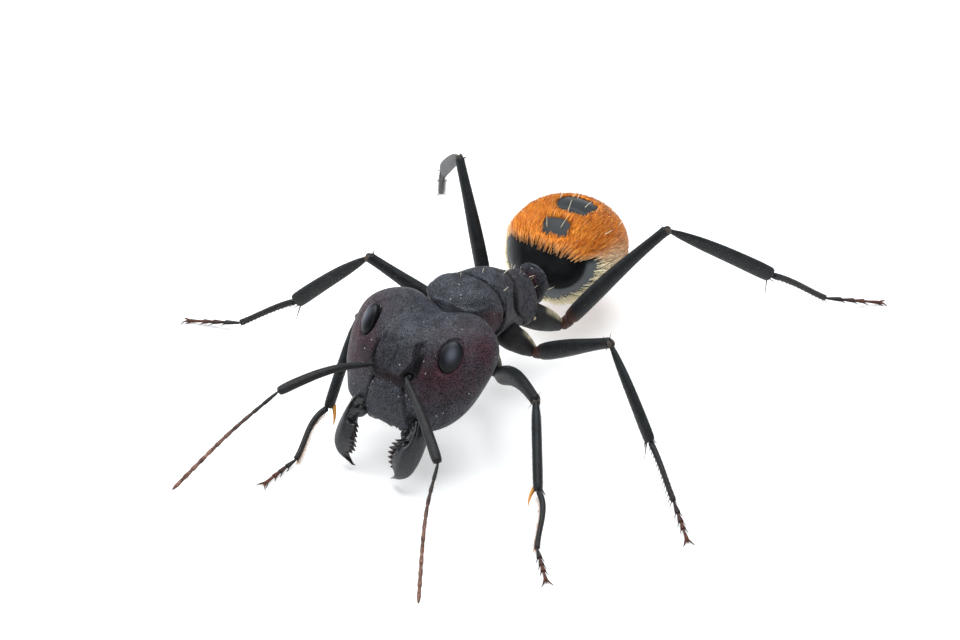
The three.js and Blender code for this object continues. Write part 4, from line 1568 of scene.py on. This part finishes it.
def build_tarsus(joints):
    """Four short pieces of the foot, each widening to its end, and the claws."""
    start, end = joints[4:6]
    way, across, over = sideways(start, end)
    shape = Shape()
    shares = np.cumsum((0.0,) + TARSUS_SHARES)
    for k, rust in enumerate((0.15, 0.45, 0.8, 1.0)):
        near = start + (end - start) * shares[k]
        far = start + (end - start) * (shares[k + 1] + 0.01)
        rows = TARSUS_ROWS if k < 3 else CLAW_ROWS
        points, faces, _ = limb(near, far, rows, across, 18, 14, blunt=(0.08, 0.08))
        shape.add(points, faces, rust=rust)
        for sign in (1.0, -1.0):
            for drop in (0.0, 0.03):
                base = far - way * 0.05 + across * sign * 0.055 - over * drop
                tip = base + way * 0.17 + across * sign * 0.08 - over * 0.04
                shape.add(*spike(base, tip, 0.013, sides=4), rust=0.3 + 0.15 * k)
    for sign in (1.0, -1.0):
        base = end + across * sign * 0.03 + over * 0.01
        tip = end + way * 0.22 + across * sign * 0.2 - over * 0.06
        shape.add(*spike(base, tip, 0.03, 0.07, unit(way + over * 0.6)), rust=1.0)
    axes = np.stack([across, way, over], 1)
    shape.add(*ellipsoid(end + way * 0.05, (0.05, 0.06, 0.03), axes, 6), rust=1.1)
    # Nothing of the foot reaches below the floor.
    shape.points = [np.maximum(points, (-np.inf, -np.inf, 0.0)) for points in shape.points]
    return shape


# Half width and half height of the first piece of a feeler at shares of its length.
SCAPE_ROWS = ((0.0, 0.055, 0.055), (0.05, 0.05, 0.05), (0.12, 0.08, 0.075), (0.35, 0.115, 0.105),
              (0.6, 0.145, 0.13), (0.9, 0.16, 0.145), (1.0, 0.135, 0.12))
SCAPE_BOW = 0.2


def shares_along(path):
    """How far along a path each of its points lies, from 0 to 1."""
    steps = np.linalg.norm(np.diff(path, axis=0), axis=1)
    lengths = np.concatenate([[0.0], np.cumsum(steps)])
    return lengths / lengths[-1]


def build_scape(side):
    """The long first piece of a feeler, rooted in its socket and thicker towards its end."""
    sign = dict(SIDES)[side]
    root, elbow = (np.array(point) for point in FEELERS[side][:2])
    x, y = sign * SOCKET[0] + FACE_MOVED[0], SOCKET[1] + FACE_MOVED[1]
    pit = HEAD.place(np.array([x, y, 1.27]))
    mouth = HEAD.place(np.array([x + 0.05 * sign, y - 0.07, 1.45]))
    way, across, over = sideways(root, elbow)
    knots = [
        root + (elbow - root) * t + over * SCAPE_BOW * math.sin(math.pi * t) for t in (0.3, 0.55, 0.8)
    ]
    path = smooth_path([pit, mouth, *knots, elbow + way * 0.02], 60)
    points, faces, _ = stem(path, shares_along(path), SCAPE_ROWS, across, 22, (0.02, 0.03))
    shape = Shape().add(points, faces, rust=0.05)
    return shape.add(*ellipsoid(pit, (0.09, 0.09, 0.09), count=10), rust=0.1)


# Lengths of the eleven pieces of a whip, beside each other.
FUNICULUS = (1.6, 1.1, 1.1, 1.05, 1.0, 1.0, 0.95, 0.95, 0.9, 0.9, 1.35)


def build_whip(side):
    """The whip of a feeler, eleven club-shaped pieces on a gentle curve, with its path."""
    rings_each = 12
    sides = 16
    edges = np.cumsum((0.0,) + FUNICULUS)
    edges = edges / edges[-1]
    place = [np.linspace(a, b, rings_each, endpoint=False) for a, b in zip(edges[:-1], edges[1:])]
    place = np.concatenate(place + [[1.0]])
    curve = smooth_path(FEELERS[side][1:], 300)
    lengths = shares_along(curve)
    path = np.stack([np.interp(place, lengths, curve[:, k]) for k in range(3)], axis=1)
    index = np.clip(np.searchsorted(edges, place, side="right") - 1, 0, len(FUNICULUS) - 1)
    share = (place - edges[index]) / (edges[index + 1] - edges[index])
    club = (0.054 + 0.014 * place) * (0.76 + 0.24 * smoothstep(share, 0.04, 0.8))
    club = club * np.sqrt(np.clip(1.0 - np.maximum(share - 0.92, 0.0) ** 2 / 0.1**2, 0.6, 1.0))
    club = club * np.where(place > edges[-2], 1.0 - 0.55 * smoothstep(share, 0.5, 1.0), 1.0)
    club[-1] = 0.01
    club[:4] = np.linspace(0.03, 0.05, 4)
    points, faces = tube(path, np.array([0.0, 0.3, 1.0]), club, club, sides)
    rust = np.concatenate([np.repeat(smoothstep(place, 0.05, 0.7), sides), [0.0, 1.0]])
    return Shape().add(points, faces, rust=rust), path, club


# ---- small hairs of the head, trunk, legs and feelers ----


def scatter_on_path(path, half, count, seed, length, lean):
    """Short hairs all round a thin limb, leaning towards its tip."""
    rng = np.random.default_rng(seed)
    place = np.sort(rng.uniform(0.02, 0.99, count)) * (len(path) - 1)
    i = place.astype(int)
    t = (place - i)[:, None]
    middle = path[i] * (1.0 - t) + path[i + 1] * t
    way = unit(path[i + 1] - path[i])
    across = unit(np.cross(way, np.array([0.1, 0.2, 1.0])))
    over = np.cross(across, way)
    turn = (np.arange(count) * GOLDEN_TURN)[:, None]
    normal = across * np.cos(turn) + over * np.sin(turn)
    radius = np.interp(place, np.arange(len(path)), half)[:, None]
    roots = middle + normal * radius * 0.97
    ways = unit(way * lean + normal)
    outer = unit(normal - way * 0.2)
    spots = (bake_spot((turn[:, 0] / (2.0 * math.pi)) % 1.0), bake_spot(place / len(path)))
    tone = rng.uniform(0.0, 1.0, count) ** 4
    shade = rng.uniform(0.0, 1.0, count)
    sizes = rng.uniform(0.7, 1.2, count) * length
    return hair_shape(
        None, roots, ways, outer, tone, shade, spots,
        length=sizes, width=0.007, rise=0.0, droop=0.1, depth=0.8,
    )


def limb_line(start, end, rows, bow, count=40):
    """The middle line and half thickness of a limb, for the hairs that grow on it."""
    _, _, over = sideways(start, end)
    t = np.linspace(0.0, 1.0, count)
    path = start + (end - start) * t[:, None] + over * (bow * np.sin(math.pi * t))[:, None]
    return path, follow(rows, t).mean(axis=1)


def join_shapes(shapes):
    """Several shapes as one."""
    joined = Shape()
    for shape in shapes:
        joined.points.extend(shape.points)
        joined.traits.extend(shape.traits)
        joined.faces.extend(faces + joined.count for faces in shape.faces)
        joined.count += shape.count
    return joined


def build_leg_down(joints, pair, seed):
    """The fine hairs on the three long pieces of a leg, as one shape."""
    pieces = (
        (femur_rows(pair), FEMUR_BULK[pair][1], 160),
        (tibia_rows(pair), TIBIA_BOW, 420),
        (LIMB_ROWS["basitarsus"], BASITARSUS_BOW[pair][0], 200),
    )
    downs = []
    for k, (rows, bow, count) in enumerate(pieces):
        line = limb_line(joints[k + 1], joints[k + 2], rows, bow)
        downs.append(scatter_on_path(*line, count, seed + k, length=0.07, lean=2.2))
    return join_shapes(downs)


def erect_hairs(part, places, seed, length, width, lean=0.5, warp=None, ways=None):
    """Standing hairs at given angles and places along a part of the body.

    They lean backwards, unless the way of each is given in the part's own frame.
    """
    rng = np.random.default_rng(seed)
    angle, along = np.array(places, float).T
    angle = np.radians(angle)
    here, normals, ahead = part.skin(angle, along)
    if warp:
        warp(here)
    if ways is None:
        ways = unit(ahead * lean + normals)
        ways = ways + rng.normal(0.0, 0.15, ways.shape)
    ways = unit(np.array(ways))
    count = len(angle)
    sizes = rng.uniform(0.8, 1.2, count) * length
    tone = rng.uniform(0.6, 1.0, count)
    shade = rng.uniform(0.4, 1.0, count)
    return hair_shape(
        part, here, ways, unit(normals + ahead * 0.5), tone, shade, unwrap(part, angle, along),
        rings=4, length=sizes, width=width, rise=0.1, droop=0.15, depth=0.8,
    )


# Where hairs stand, as angles from the top in degrees and places along each part.
TRUNK_HAIRS = (
    (5, 0.3), (12, 0.36), (20, 0.28), (-9, 0.3), (-17, 0.34), (48, -0.36), (52, -0.26),
    (-50, -0.3), (4, -0.5), (-12, -1.1), (16, 1.3), (-14, 1.35), (30, 1.66), (-28, 1.62),
)
WAIST_HAIRS = ((0, 0.1), (16, -0.09), (110, -0.15))
WAIST_HAIR_WAYS = ((0.51, 0.86, 0.0), (0.63, 0.78, -0.03), (0.77, 0.63, -0.04))


def build_body_hairs():
    """The few standing hairs of the trunk and waist, and the fine ones at the mouth."""
    head = [(turn, y) for y in (-1.3, -0.9, 0.3, 1.0, 1.35, 1.6) for turn in (-34, -17, 14, 30)]
    mouth = [(turn, -2.085) for turn in np.linspace(-52.0, 40.0, 15)]
    return {
        "bristles_trunk": erect_hairs(TRUNK, TRUNK_HAIRS, 51, 0.22, 0.02),
        "bristles_waist": erect_hairs(WAIST, WAIST_HAIRS, 52, 0.42, 0.028, ways=WAIST_HAIR_WAYS),
        "bristles_head": erect_hairs(HEAD, head, 53, 0.07, 0.01, 0.4, draw_in_occiput),
        "bristles_mouth": erect_hairs(HEAD, mouth, 54, 0.3, 0.009, -1.6, draw_in_occiput),
    }


# ---- settings ----


def colour_property(name, description, red, green, blue):
    """A colour that the user may change."""
    return FloatVectorProperty(
        name=name,
        description=description,
        subtype="COLOR",
        size=4,
        min=0.0,
        max=1.0,
        default=(red, green, blue, 1.0),
    )


def length_property(name, description, millimetres):
    """A length that the user may change."""
    return FloatProperty(
        name=name,
        description=description,
        default=millimetres * MM,
        unit="LENGTH",
        subtype="DISTANCE",
        precision=6,
    )


def angle_property(name, description, degrees):
    """An angle that the user may change."""
    return FloatProperty(
        name=name, description=description, default=math.radians(degrees), subtype="ANGLE"
    )


class AntColours(bpy.types.PropertyGroup):
    """The colours of the ant."""

    shell: colour_property("Shell", "Head and trunk", 0.0215, 0.0225, 0.0275)
    shell_pale: colour_property("Shell bloom", "Greyer patches of the shell", 0.042, 0.0447, 0.0545)
    blush: colour_property("Blush", "Red of the cheeks", 0.055, 0.014, 0.021)
    blush_deep: colour_property("Deep blush", "Darker red of the cheeks", 0.028, 0.0095, 0.014)
    jaw: colour_property("Jaw sides", "Dull outer side of the jaws", 0.02, 0.0208, 0.024)
    # Near-black of the glossy jaw teeth, joints and mouth parts, also used as painted shade in the
    # grooves of the shell.
    gloss_black_and_shade: colour_property("Gloss", "Glossy black", 0.007, 0.007, 0.0075)
    worn_tooth: colour_property("Worn teeth", "Edges of the teeth", 0.05, 0.022, 0.014)
    eye: colour_property("Eyes", "Lens shell", 0.004, 0.004, 0.005)
    # Painted highlight: the paler colour laid high on each eye's dome.
    eye_painted_highlight: colour_property("Eye bloom", "Greyer part of the eyes", 0.082, 0.09, 0.112)
    limb: colour_property("Limbs", "Legs and first feeler pieces", 0.0075, 0.0085, 0.0092)
    limb_pale: colour_property("Limb bloom", "Greyer patches of the limbs", 0.014, 0.0165, 0.0178)
    rust: colour_property("Rust", "Red-brown of the feet and feelers", 0.11, 0.035, 0.018)
    whip_end: colour_property("Feeler tips", "Pale red-brown of the feelers", 0.33, 0.17, 0.12)
    rust_dark: colour_property("Dark rust", "Darker red-brown", 0.05, 0.02, 0.014)
    grains: colour_property("Grains", "Tiny pale grains on the shell", 0.34, 0.34, 0.35)
    amber: colour_property("Amber", "Combs and spurs of the fore legs", 0.62, 0.27, 0.05)
    membrane: colour_property("Membrane", "Pale rims of the leg roots", 0.42, 0.36, 0.24)
    plate: colour_property("Rear plates", "Black under the coat", 0.003, 0.003, 0.0033)
    # Painted shade: a darker copy of the coat's orange, laid on the shell under the hair.
    coat_shadow: colour_property("Coat shadow", "Shell seen between the hairs", 0.17, 0.045, 0.006)
    # Painted sheen: the grey of the bare sides, laid far stronger on the left side.
    bare_side_sheen: colour_property("Bare side", "Grey sides of the rear plates", 0.115, 0.125, 0.132)
    coat: colour_property("Coat", "Orange hair", 0.5, 0.11, 0.006)
    coat_pale: colour_property("Pale coat", "Golden hair", 0.88, 0.33, 0.035)
    cream: colour_property("Cream", "Palest hair", 0.92, 0.82, 0.58)
    bristle: colour_property("Bristles", "Standing hairs", 0.5, 0.34, 0.14)
    down: colour_property("Down", "Fine hairs of the limbs", 0.08, 0.06, 0.045)
    down_pale: colour_property("Pale down", "Palest hairs of the limbs", 0.3, 0.24, 0.16)
    floor: colour_property("Floor", "Pale floor lit from below", 0.6, 0.6, 0.6)


class AntHead(bpy.types.PropertyGroup):
    """The head's surface."""

    relief: FloatProperty(
        name="Relief",
        description="Height of the ridges and grooves of the face, as a share of the real one",
        default=1.0,
        min=0.0,
        max=1.5,
        subtype="FACTOR",
    )
    fineness: IntProperty(
        name="Fineness",
        description="Rows of faces on each of the six sides of the head",
        default=120,
        min=20,
        max=160,
    )


class AntCoat(bpy.types.PropertyGroup):
    """The lying hair of the rear body."""

    hairs: IntProperty(
        name="Hairs",
        description="Number of hairs before the bare patches are left out",
        default=46000,
        min=1000,
        max=90000,
    )
    hair_length: length_property("Length", "Length of one hair", 0.42)
    hair_width: length_property("Width", "Width of one hair at its root", 0.03)


class AntStage(bpy.types.PropertyGroup):
    """The camera and the room."""

    azimuth: angle_property(
        "Azimuth", "Turn of the camera from straight ahead of the ant towards its left", 38.0
    )
    elevation: angle_property("Elevation", "Height of the camera above the level", 34.0)
    roll: angle_property("Roll", "Turn of the camera about its own line of sight", -0.76)
    distance: length_property("Distance", "Distance of the camera from the middle of the ant", 220.0)
    lens: FloatProperty(
        name="Lens",
        description="Focal length in millimetres on a sensor 36 mm wide",
        default=278.4,
    )


# ---- the stage ----

# How high above the floor the camera and the lights aim, in millimetres.
AIM_HEIGHT = 2.5
# Each soft light's place from that point and its width, in metres, and its power in watts.
LIGHTS = {
    "top_light": ((-0.03, 0.03, 0.26), 0.26, 1.5),
    "side_light": ((-0.2, -0.04, 0.12), 0.16, 0.25),
    "front_light": ((0.14, -0.2, 0.12), 0.16, 0.1),
}
LIGHT_COLOUR = (0.93, 0.97, 1.0)
ROOM_COLOUR = (0.88, 0.94, 1.0, 1.0)
ROOM_STRENGTH = 0.12


def make_floor():
    """A wide pale floor, faintly uneven in its finish."""
    finish = Finish("floor")
    tone = finish.uneven(8.0, 3.0, 0.985, 1.0)
    colour = finish.blend(1.0, colour_of("floor"), tone, "MULTIPLY")
    material = finish.done(colour, 0.7, None, 0.2)
    finish.shader.inputs["Emission Color"].default_value = (1.0, 1.0, 1.0, 1.0)
    finish.shader.inputs["Emission Strength"].default_value = 0.5
    half = 600.0 * MM
    below = -0.01 * MM
    corners = ((-half, -half), (half, -half), (half, half), (-half, half))
    mesh = bpy.data.meshes.new("floor")
    mesh.from_pydata([(x, y, below) for x, y in corners], [], [(0, 1, 2, 3)])
    floor = bpy.data.objects.new("floor", mesh)
    floor.data.materials.append(material)
    bpy.context.scene.collection.objects.link(floor)


def make_light(name, aim, offset, size, power):
    """A soft square light that faces the ant."""
    data = bpy.data.lights.new(name, "AREA")
    data.shape = "SQUARE"
    data.size = size
    data.energy = power
    data.color = LIGHT_COLOUR
    light = bpy.data.objects.new(name, data)
    light.location = aim + Vector(offset)
    light.rotation_euler = (-Vector(offset)).to_track_quat("-Z", "Y").to_euler()
    bpy.context.scene.collection.objects.link(light)


def make_camera(settings, aim):
    """A long lens that looks down on the ant's left front, shifted a little off its middle."""
    azimuth, elevation, roll = settings.azimuth, settings.elevation, settings.roll
    right = Vector((math.cos(azimuth), math.sin(azimuth), 0.0))
    level = math.cos(elevation)
    back = Vector((math.sin(azimuth) * level, -math.cos(azimuth) * level, math.sin(elevation)))
    up = back.cross(right)
    right, up = (
        math.cos(roll) * right + math.sin(roll) * up,
        math.cos(roll) * up - math.sin(roll) * right,
    )
    data = bpy.data.cameras.new("camera")
    data.lens = settings.lens
    data.sensor_width = 36.0
    data.shift_x = -0.0024
    data.shift_y = 0.0043
    data.clip_start = 0.005
    data.clip_end = 10.0
    camera = bpy.data.objects.new("camera", data)
    facing = Matrix((right, up, back)).transposed().to_4x4()
    camera.matrix_world = Matrix.Translation(aim + back * settings.distance) @ facing
    bpy.context.scene.collection.objects.link(camera)
    bpy.context.scene.camera = camera


# ---- operators ----


class ANT_OT_head(bpy.types.Operator):
    """Build the head capsule with its ridges, sockets and grooves"""

    bl_idname = "ant.head"
    bl_label = "Head"

    def execute(self, context):
        settings = context.scene.ant_head
        shell = material_of("granular_head", shell_finish)
        shape = build_head(settings.relief, settings.fineness)
        make_piece("head_capsule", shape, shell, ["head"])
        return {"FINISHED"}


class ANT_OT_eyes(bpy.types.Operator):
    """Build the two eyes"""

    bl_idname = "ant.eyes"
    bl_label = "Eyes"

    def execute(self, context):
        lens = material_of("eye_dome", eye_finish)
        for side, sign in SIDES:
            make_piece(f"eye_lens_{side}", build_eye(sign), lens, [f"eye_{side}"])
        return {"FINISHED"}


class ANT_OT_jaws(bpy.types.Operator):
    """Build the toothed jaws and the closed mouth parts between them"""

    bl_idname = "ant.jaws"
    bl_label = "Jaws"

    def execute(self, context):
        gloss_black_and_shade = material_of("jaw_gloss", jaw_finish)
        for side, sign in SIDES:
            make_piece(f"jaw_{side}", build_jaw(side, sign), gloss_black_and_shade, [f"mandible_{side}"])
        make_piece("mouth", build_mouth(), gloss_black_and_shade, ["mouthparts"])
        return {"FINISHED"}


class ANT_OT_trunk(bpy.types.Operator):
    """Build the three plates of the trunk and the neck"""

    bl_idname = "ant.trunk"
    bl_label = "Trunk"

    def execute(self, context):
        shell = trunk_material()
        plates = (
            ("pronotum", None, pronotal_suture, 90, 0.9),
            ("mesonotum", pronotal_suture, metanotal_groove, 70, 0.3),
            ("propodeum", metanotal_groove, None, 80, 0.2),
        )
        for name, start, end, rows, blush in plates:
            shape = build_trunk_plate(start, end, rows, blush)
            if name == "pronotum":
                shape.add(*build_neck(), blush=0.5)
            if name == "propodeum":
                for _, sign in SIDES:
                    opening = ellipsoid(gland_place(sign), (0.06, 0.07, 0.06), None, 8)
                    shape.add(*opening, pale=1.0)
            make_piece(f"{name}_plate", shape, shell, [name])
        return {"FINISHED"}


class ANT_OT_waist(bpy.types.Operator):
    """Build the upright scale between trunk and rear body"""

    bl_idname = "ant.waist"
    bl_label = "Waist"

    def execute(self, context):
        make_piece("waist_scale", build_waist(), trunk_material(), ["petiole"])
        return {"FINISHED"}


class ANT_OT_rear(bpy.types.Operator):
    """Build the five plates of the rear body"""

    bl_idname = "ant.rear"
    bl_label = "Rear body"

    def execute(self, context):
        plate = material_of("rear_plate", plate_finish)
        for number in range(len(TERGITE_EDGES) - 1):
            name = f"gaster_segment_{number + 1}"
            make_piece(f"rear_plate_{number + 1}", build_tergite(number), plate, [name])
        return {"FINISHED"}


class ANT_OT_coat(bpy.types.Operator):
    """Grow the lying orange coat and the long pale hairs over it"""

    bl_idname = "ant.coat"
    bl_label = "Coat"

    def execute(self, context):
        for number, shape in enumerate(build_coat(context.scene.ant_coat)):
            make_piece(f"coat_{number + 1}", shape, coat_material())
        make_piece("coat_long_hairs", build_rear_bristles(), bristle_material())
        return {"FINISHED"}


class ANT_OT_legs(bpy.types.Operator):
    """Build the six legs, piece by piece"""

    bl_idname = "ant.legs"
    bl_label = "Legs"

    def execute(self, context):
        shell = limb_material()
        for number, (pair, side) in enumerate(LEGS):
            rng = np.random.default_rng(60 + number)
            joints = leg_joints(pair, side)
            shapes = {
                "coxa": build_coxa(joints, dict(SIDES)[side]),
                "femur": build_femur(joints, pair),
                "tibia": build_tibia(joints, pair, rng),
                "basitarsus": build_basitarsus(joints, pair, rng),
                "tarsus": build_tarsus(joints),
            }
            for name, shape in shapes.items():
                node = f"{name}_{pair}_{side}"
                make_piece(f"{name}_shell_{pair}_{side}", shape, shell, [node])
        return {"FINISHED"}


class ANT_OT_feelers(bpy.types.Operator):
    """Build the two feelers with their fine down"""

    bl_idname = "ant.feelers"
    bl_label = "Feelers"

    def execute(self, context):
        shell = limb_material()
        whip_shell = material_of("whip_satin", limb_finish, "whip_end", 0.5)
        for number, (side, _) in enumerate(SIDES):
            scape_name = f"antenna_scape_{side}"
            make_piece(f"scape_{side}", build_scape(side), shell, [scape_name])
            shape, path, half = build_whip(side)
            whip_name = f"antenna_funiculus_{side}"
            make_piece(f"whip_{side}", shape, whip_shell, [whip_name])
            down = scatter_on_path(path, half, 900, 70 + number, length=0.05, lean=1.2)
            make_piece(f"whip_down_{side}", down, down_material())
        return {"FINISHED"}


class ANT_OT_bristles(bpy.types.Operator):
    """Set the standing hairs of head, trunk and waist, and the down of the legs"""

    bl_idname = "ant.bristles"
    bl_label = "Bristles"

    def execute(self, context):
        for name, shape in build_body_hairs().items():
            make_piece(name, shape, bristle_material())
        for number, (pair, side) in enumerate(LEGS):
            down = build_leg_down(leg_joints(pair, side), pair, 80 + 5 * number)
            make_piece(f"down_{pair}_{side}", down, down_material())
        return {"FINISHED"}


class ANT_OT_stage(bpy.types.Operator):
    """Set the floor, the soft lights and the camera"""

    bl_idname = "ant.stage"
    bl_label = "Stage"

    def execute(self, context):
        settings = context.scene.ant_stage
        make_floor()
        aim = Vector((SHIFT + np.array([0.0, 0.0, AIM_HEIGHT])) * MM)
        for name, (offset, size, power) in LIGHTS.items():
            make_light(name, aim, offset, size, power)
        make_camera(settings, aim)
        world = bpy.data.worlds.new("room")
        context.scene.world = world
        world.use_nodes = True
        background = world.node_tree.nodes["Background"]
        background.inputs["Color"].default_value = ROOM_COLOUR
        background.inputs["Strength"].default_value = ROOM_STRENGTH
        context.scene.view_settings.view_transform = "Standard"
        return {"FINISHED"}


OPERATORS = (
    ANT_OT_stage,
    ANT_OT_head,
    ANT_OT_eyes,
    ANT_OT_jaws,
    ANT_OT_trunk,
    ANT_OT_waist,
    ANT_OT_rear,
    ANT_OT_coat,
    ANT_OT_legs,
    ANT_OT_feelers,
    ANT_OT_bristles,
)


class ANT_PT_panel(bpy.types.Panel):
    """The settings of the ant and the steps that build it"""

    bl_label = "Carpenter ant"
    bl_idname = "ANT_PT_panel"
    bl_space_type = "VIEW_3D"
    bl_region_type = "UI"
    bl_category = "Ant"

    def draw(self, context):
        layout = self.layout
        for name in SETTINGS:
            group = getattr(context.scene, name)
            box = layout.box()
            for key in group.bl_rna.properties.keys():
                if key not in ("rna_type", "name"):
                    box.prop(group, key)
        for operator in OPERATORS:
            layout.operator(operator.bl_idname)


SETTINGS = {
    "ant_colours": AntColours,
    "ant_head": AntHead,
    "ant_coat": AntCoat,
    "ant_stage": AntStage,
}


def register():
    """Adds the settings, the operators and the panel."""
    for name, group in SETTINGS.items():
        bpy.utils.register_class(group)
        setattr(bpy.types.Scene, name, PointerProperty(type=group))
    for operator in OPERATORS:
        bpy.utils.register_class(operator)
    bpy.utils.register_class(ANT_PT_panel)


def unregister():
    """Takes them away again."""
    bpy.utils.unregister_class(ANT_PT_panel)
    for operator in reversed(OPERATORS):
        bpy.utils.unregister_class(operator)
    for name, group in SETTINGS.items():
        delattr(bpy.types.Scene, name)
        bpy.utils.unregister_class(group)


def main():
    """Builds everything."""
    register()
    for operator in OPERATORS:
        group, name = operator.bl_idname.split(".")
        getattr(getattr(bpy.ops, group), name)()


if __name__ == "__main__":
    main()
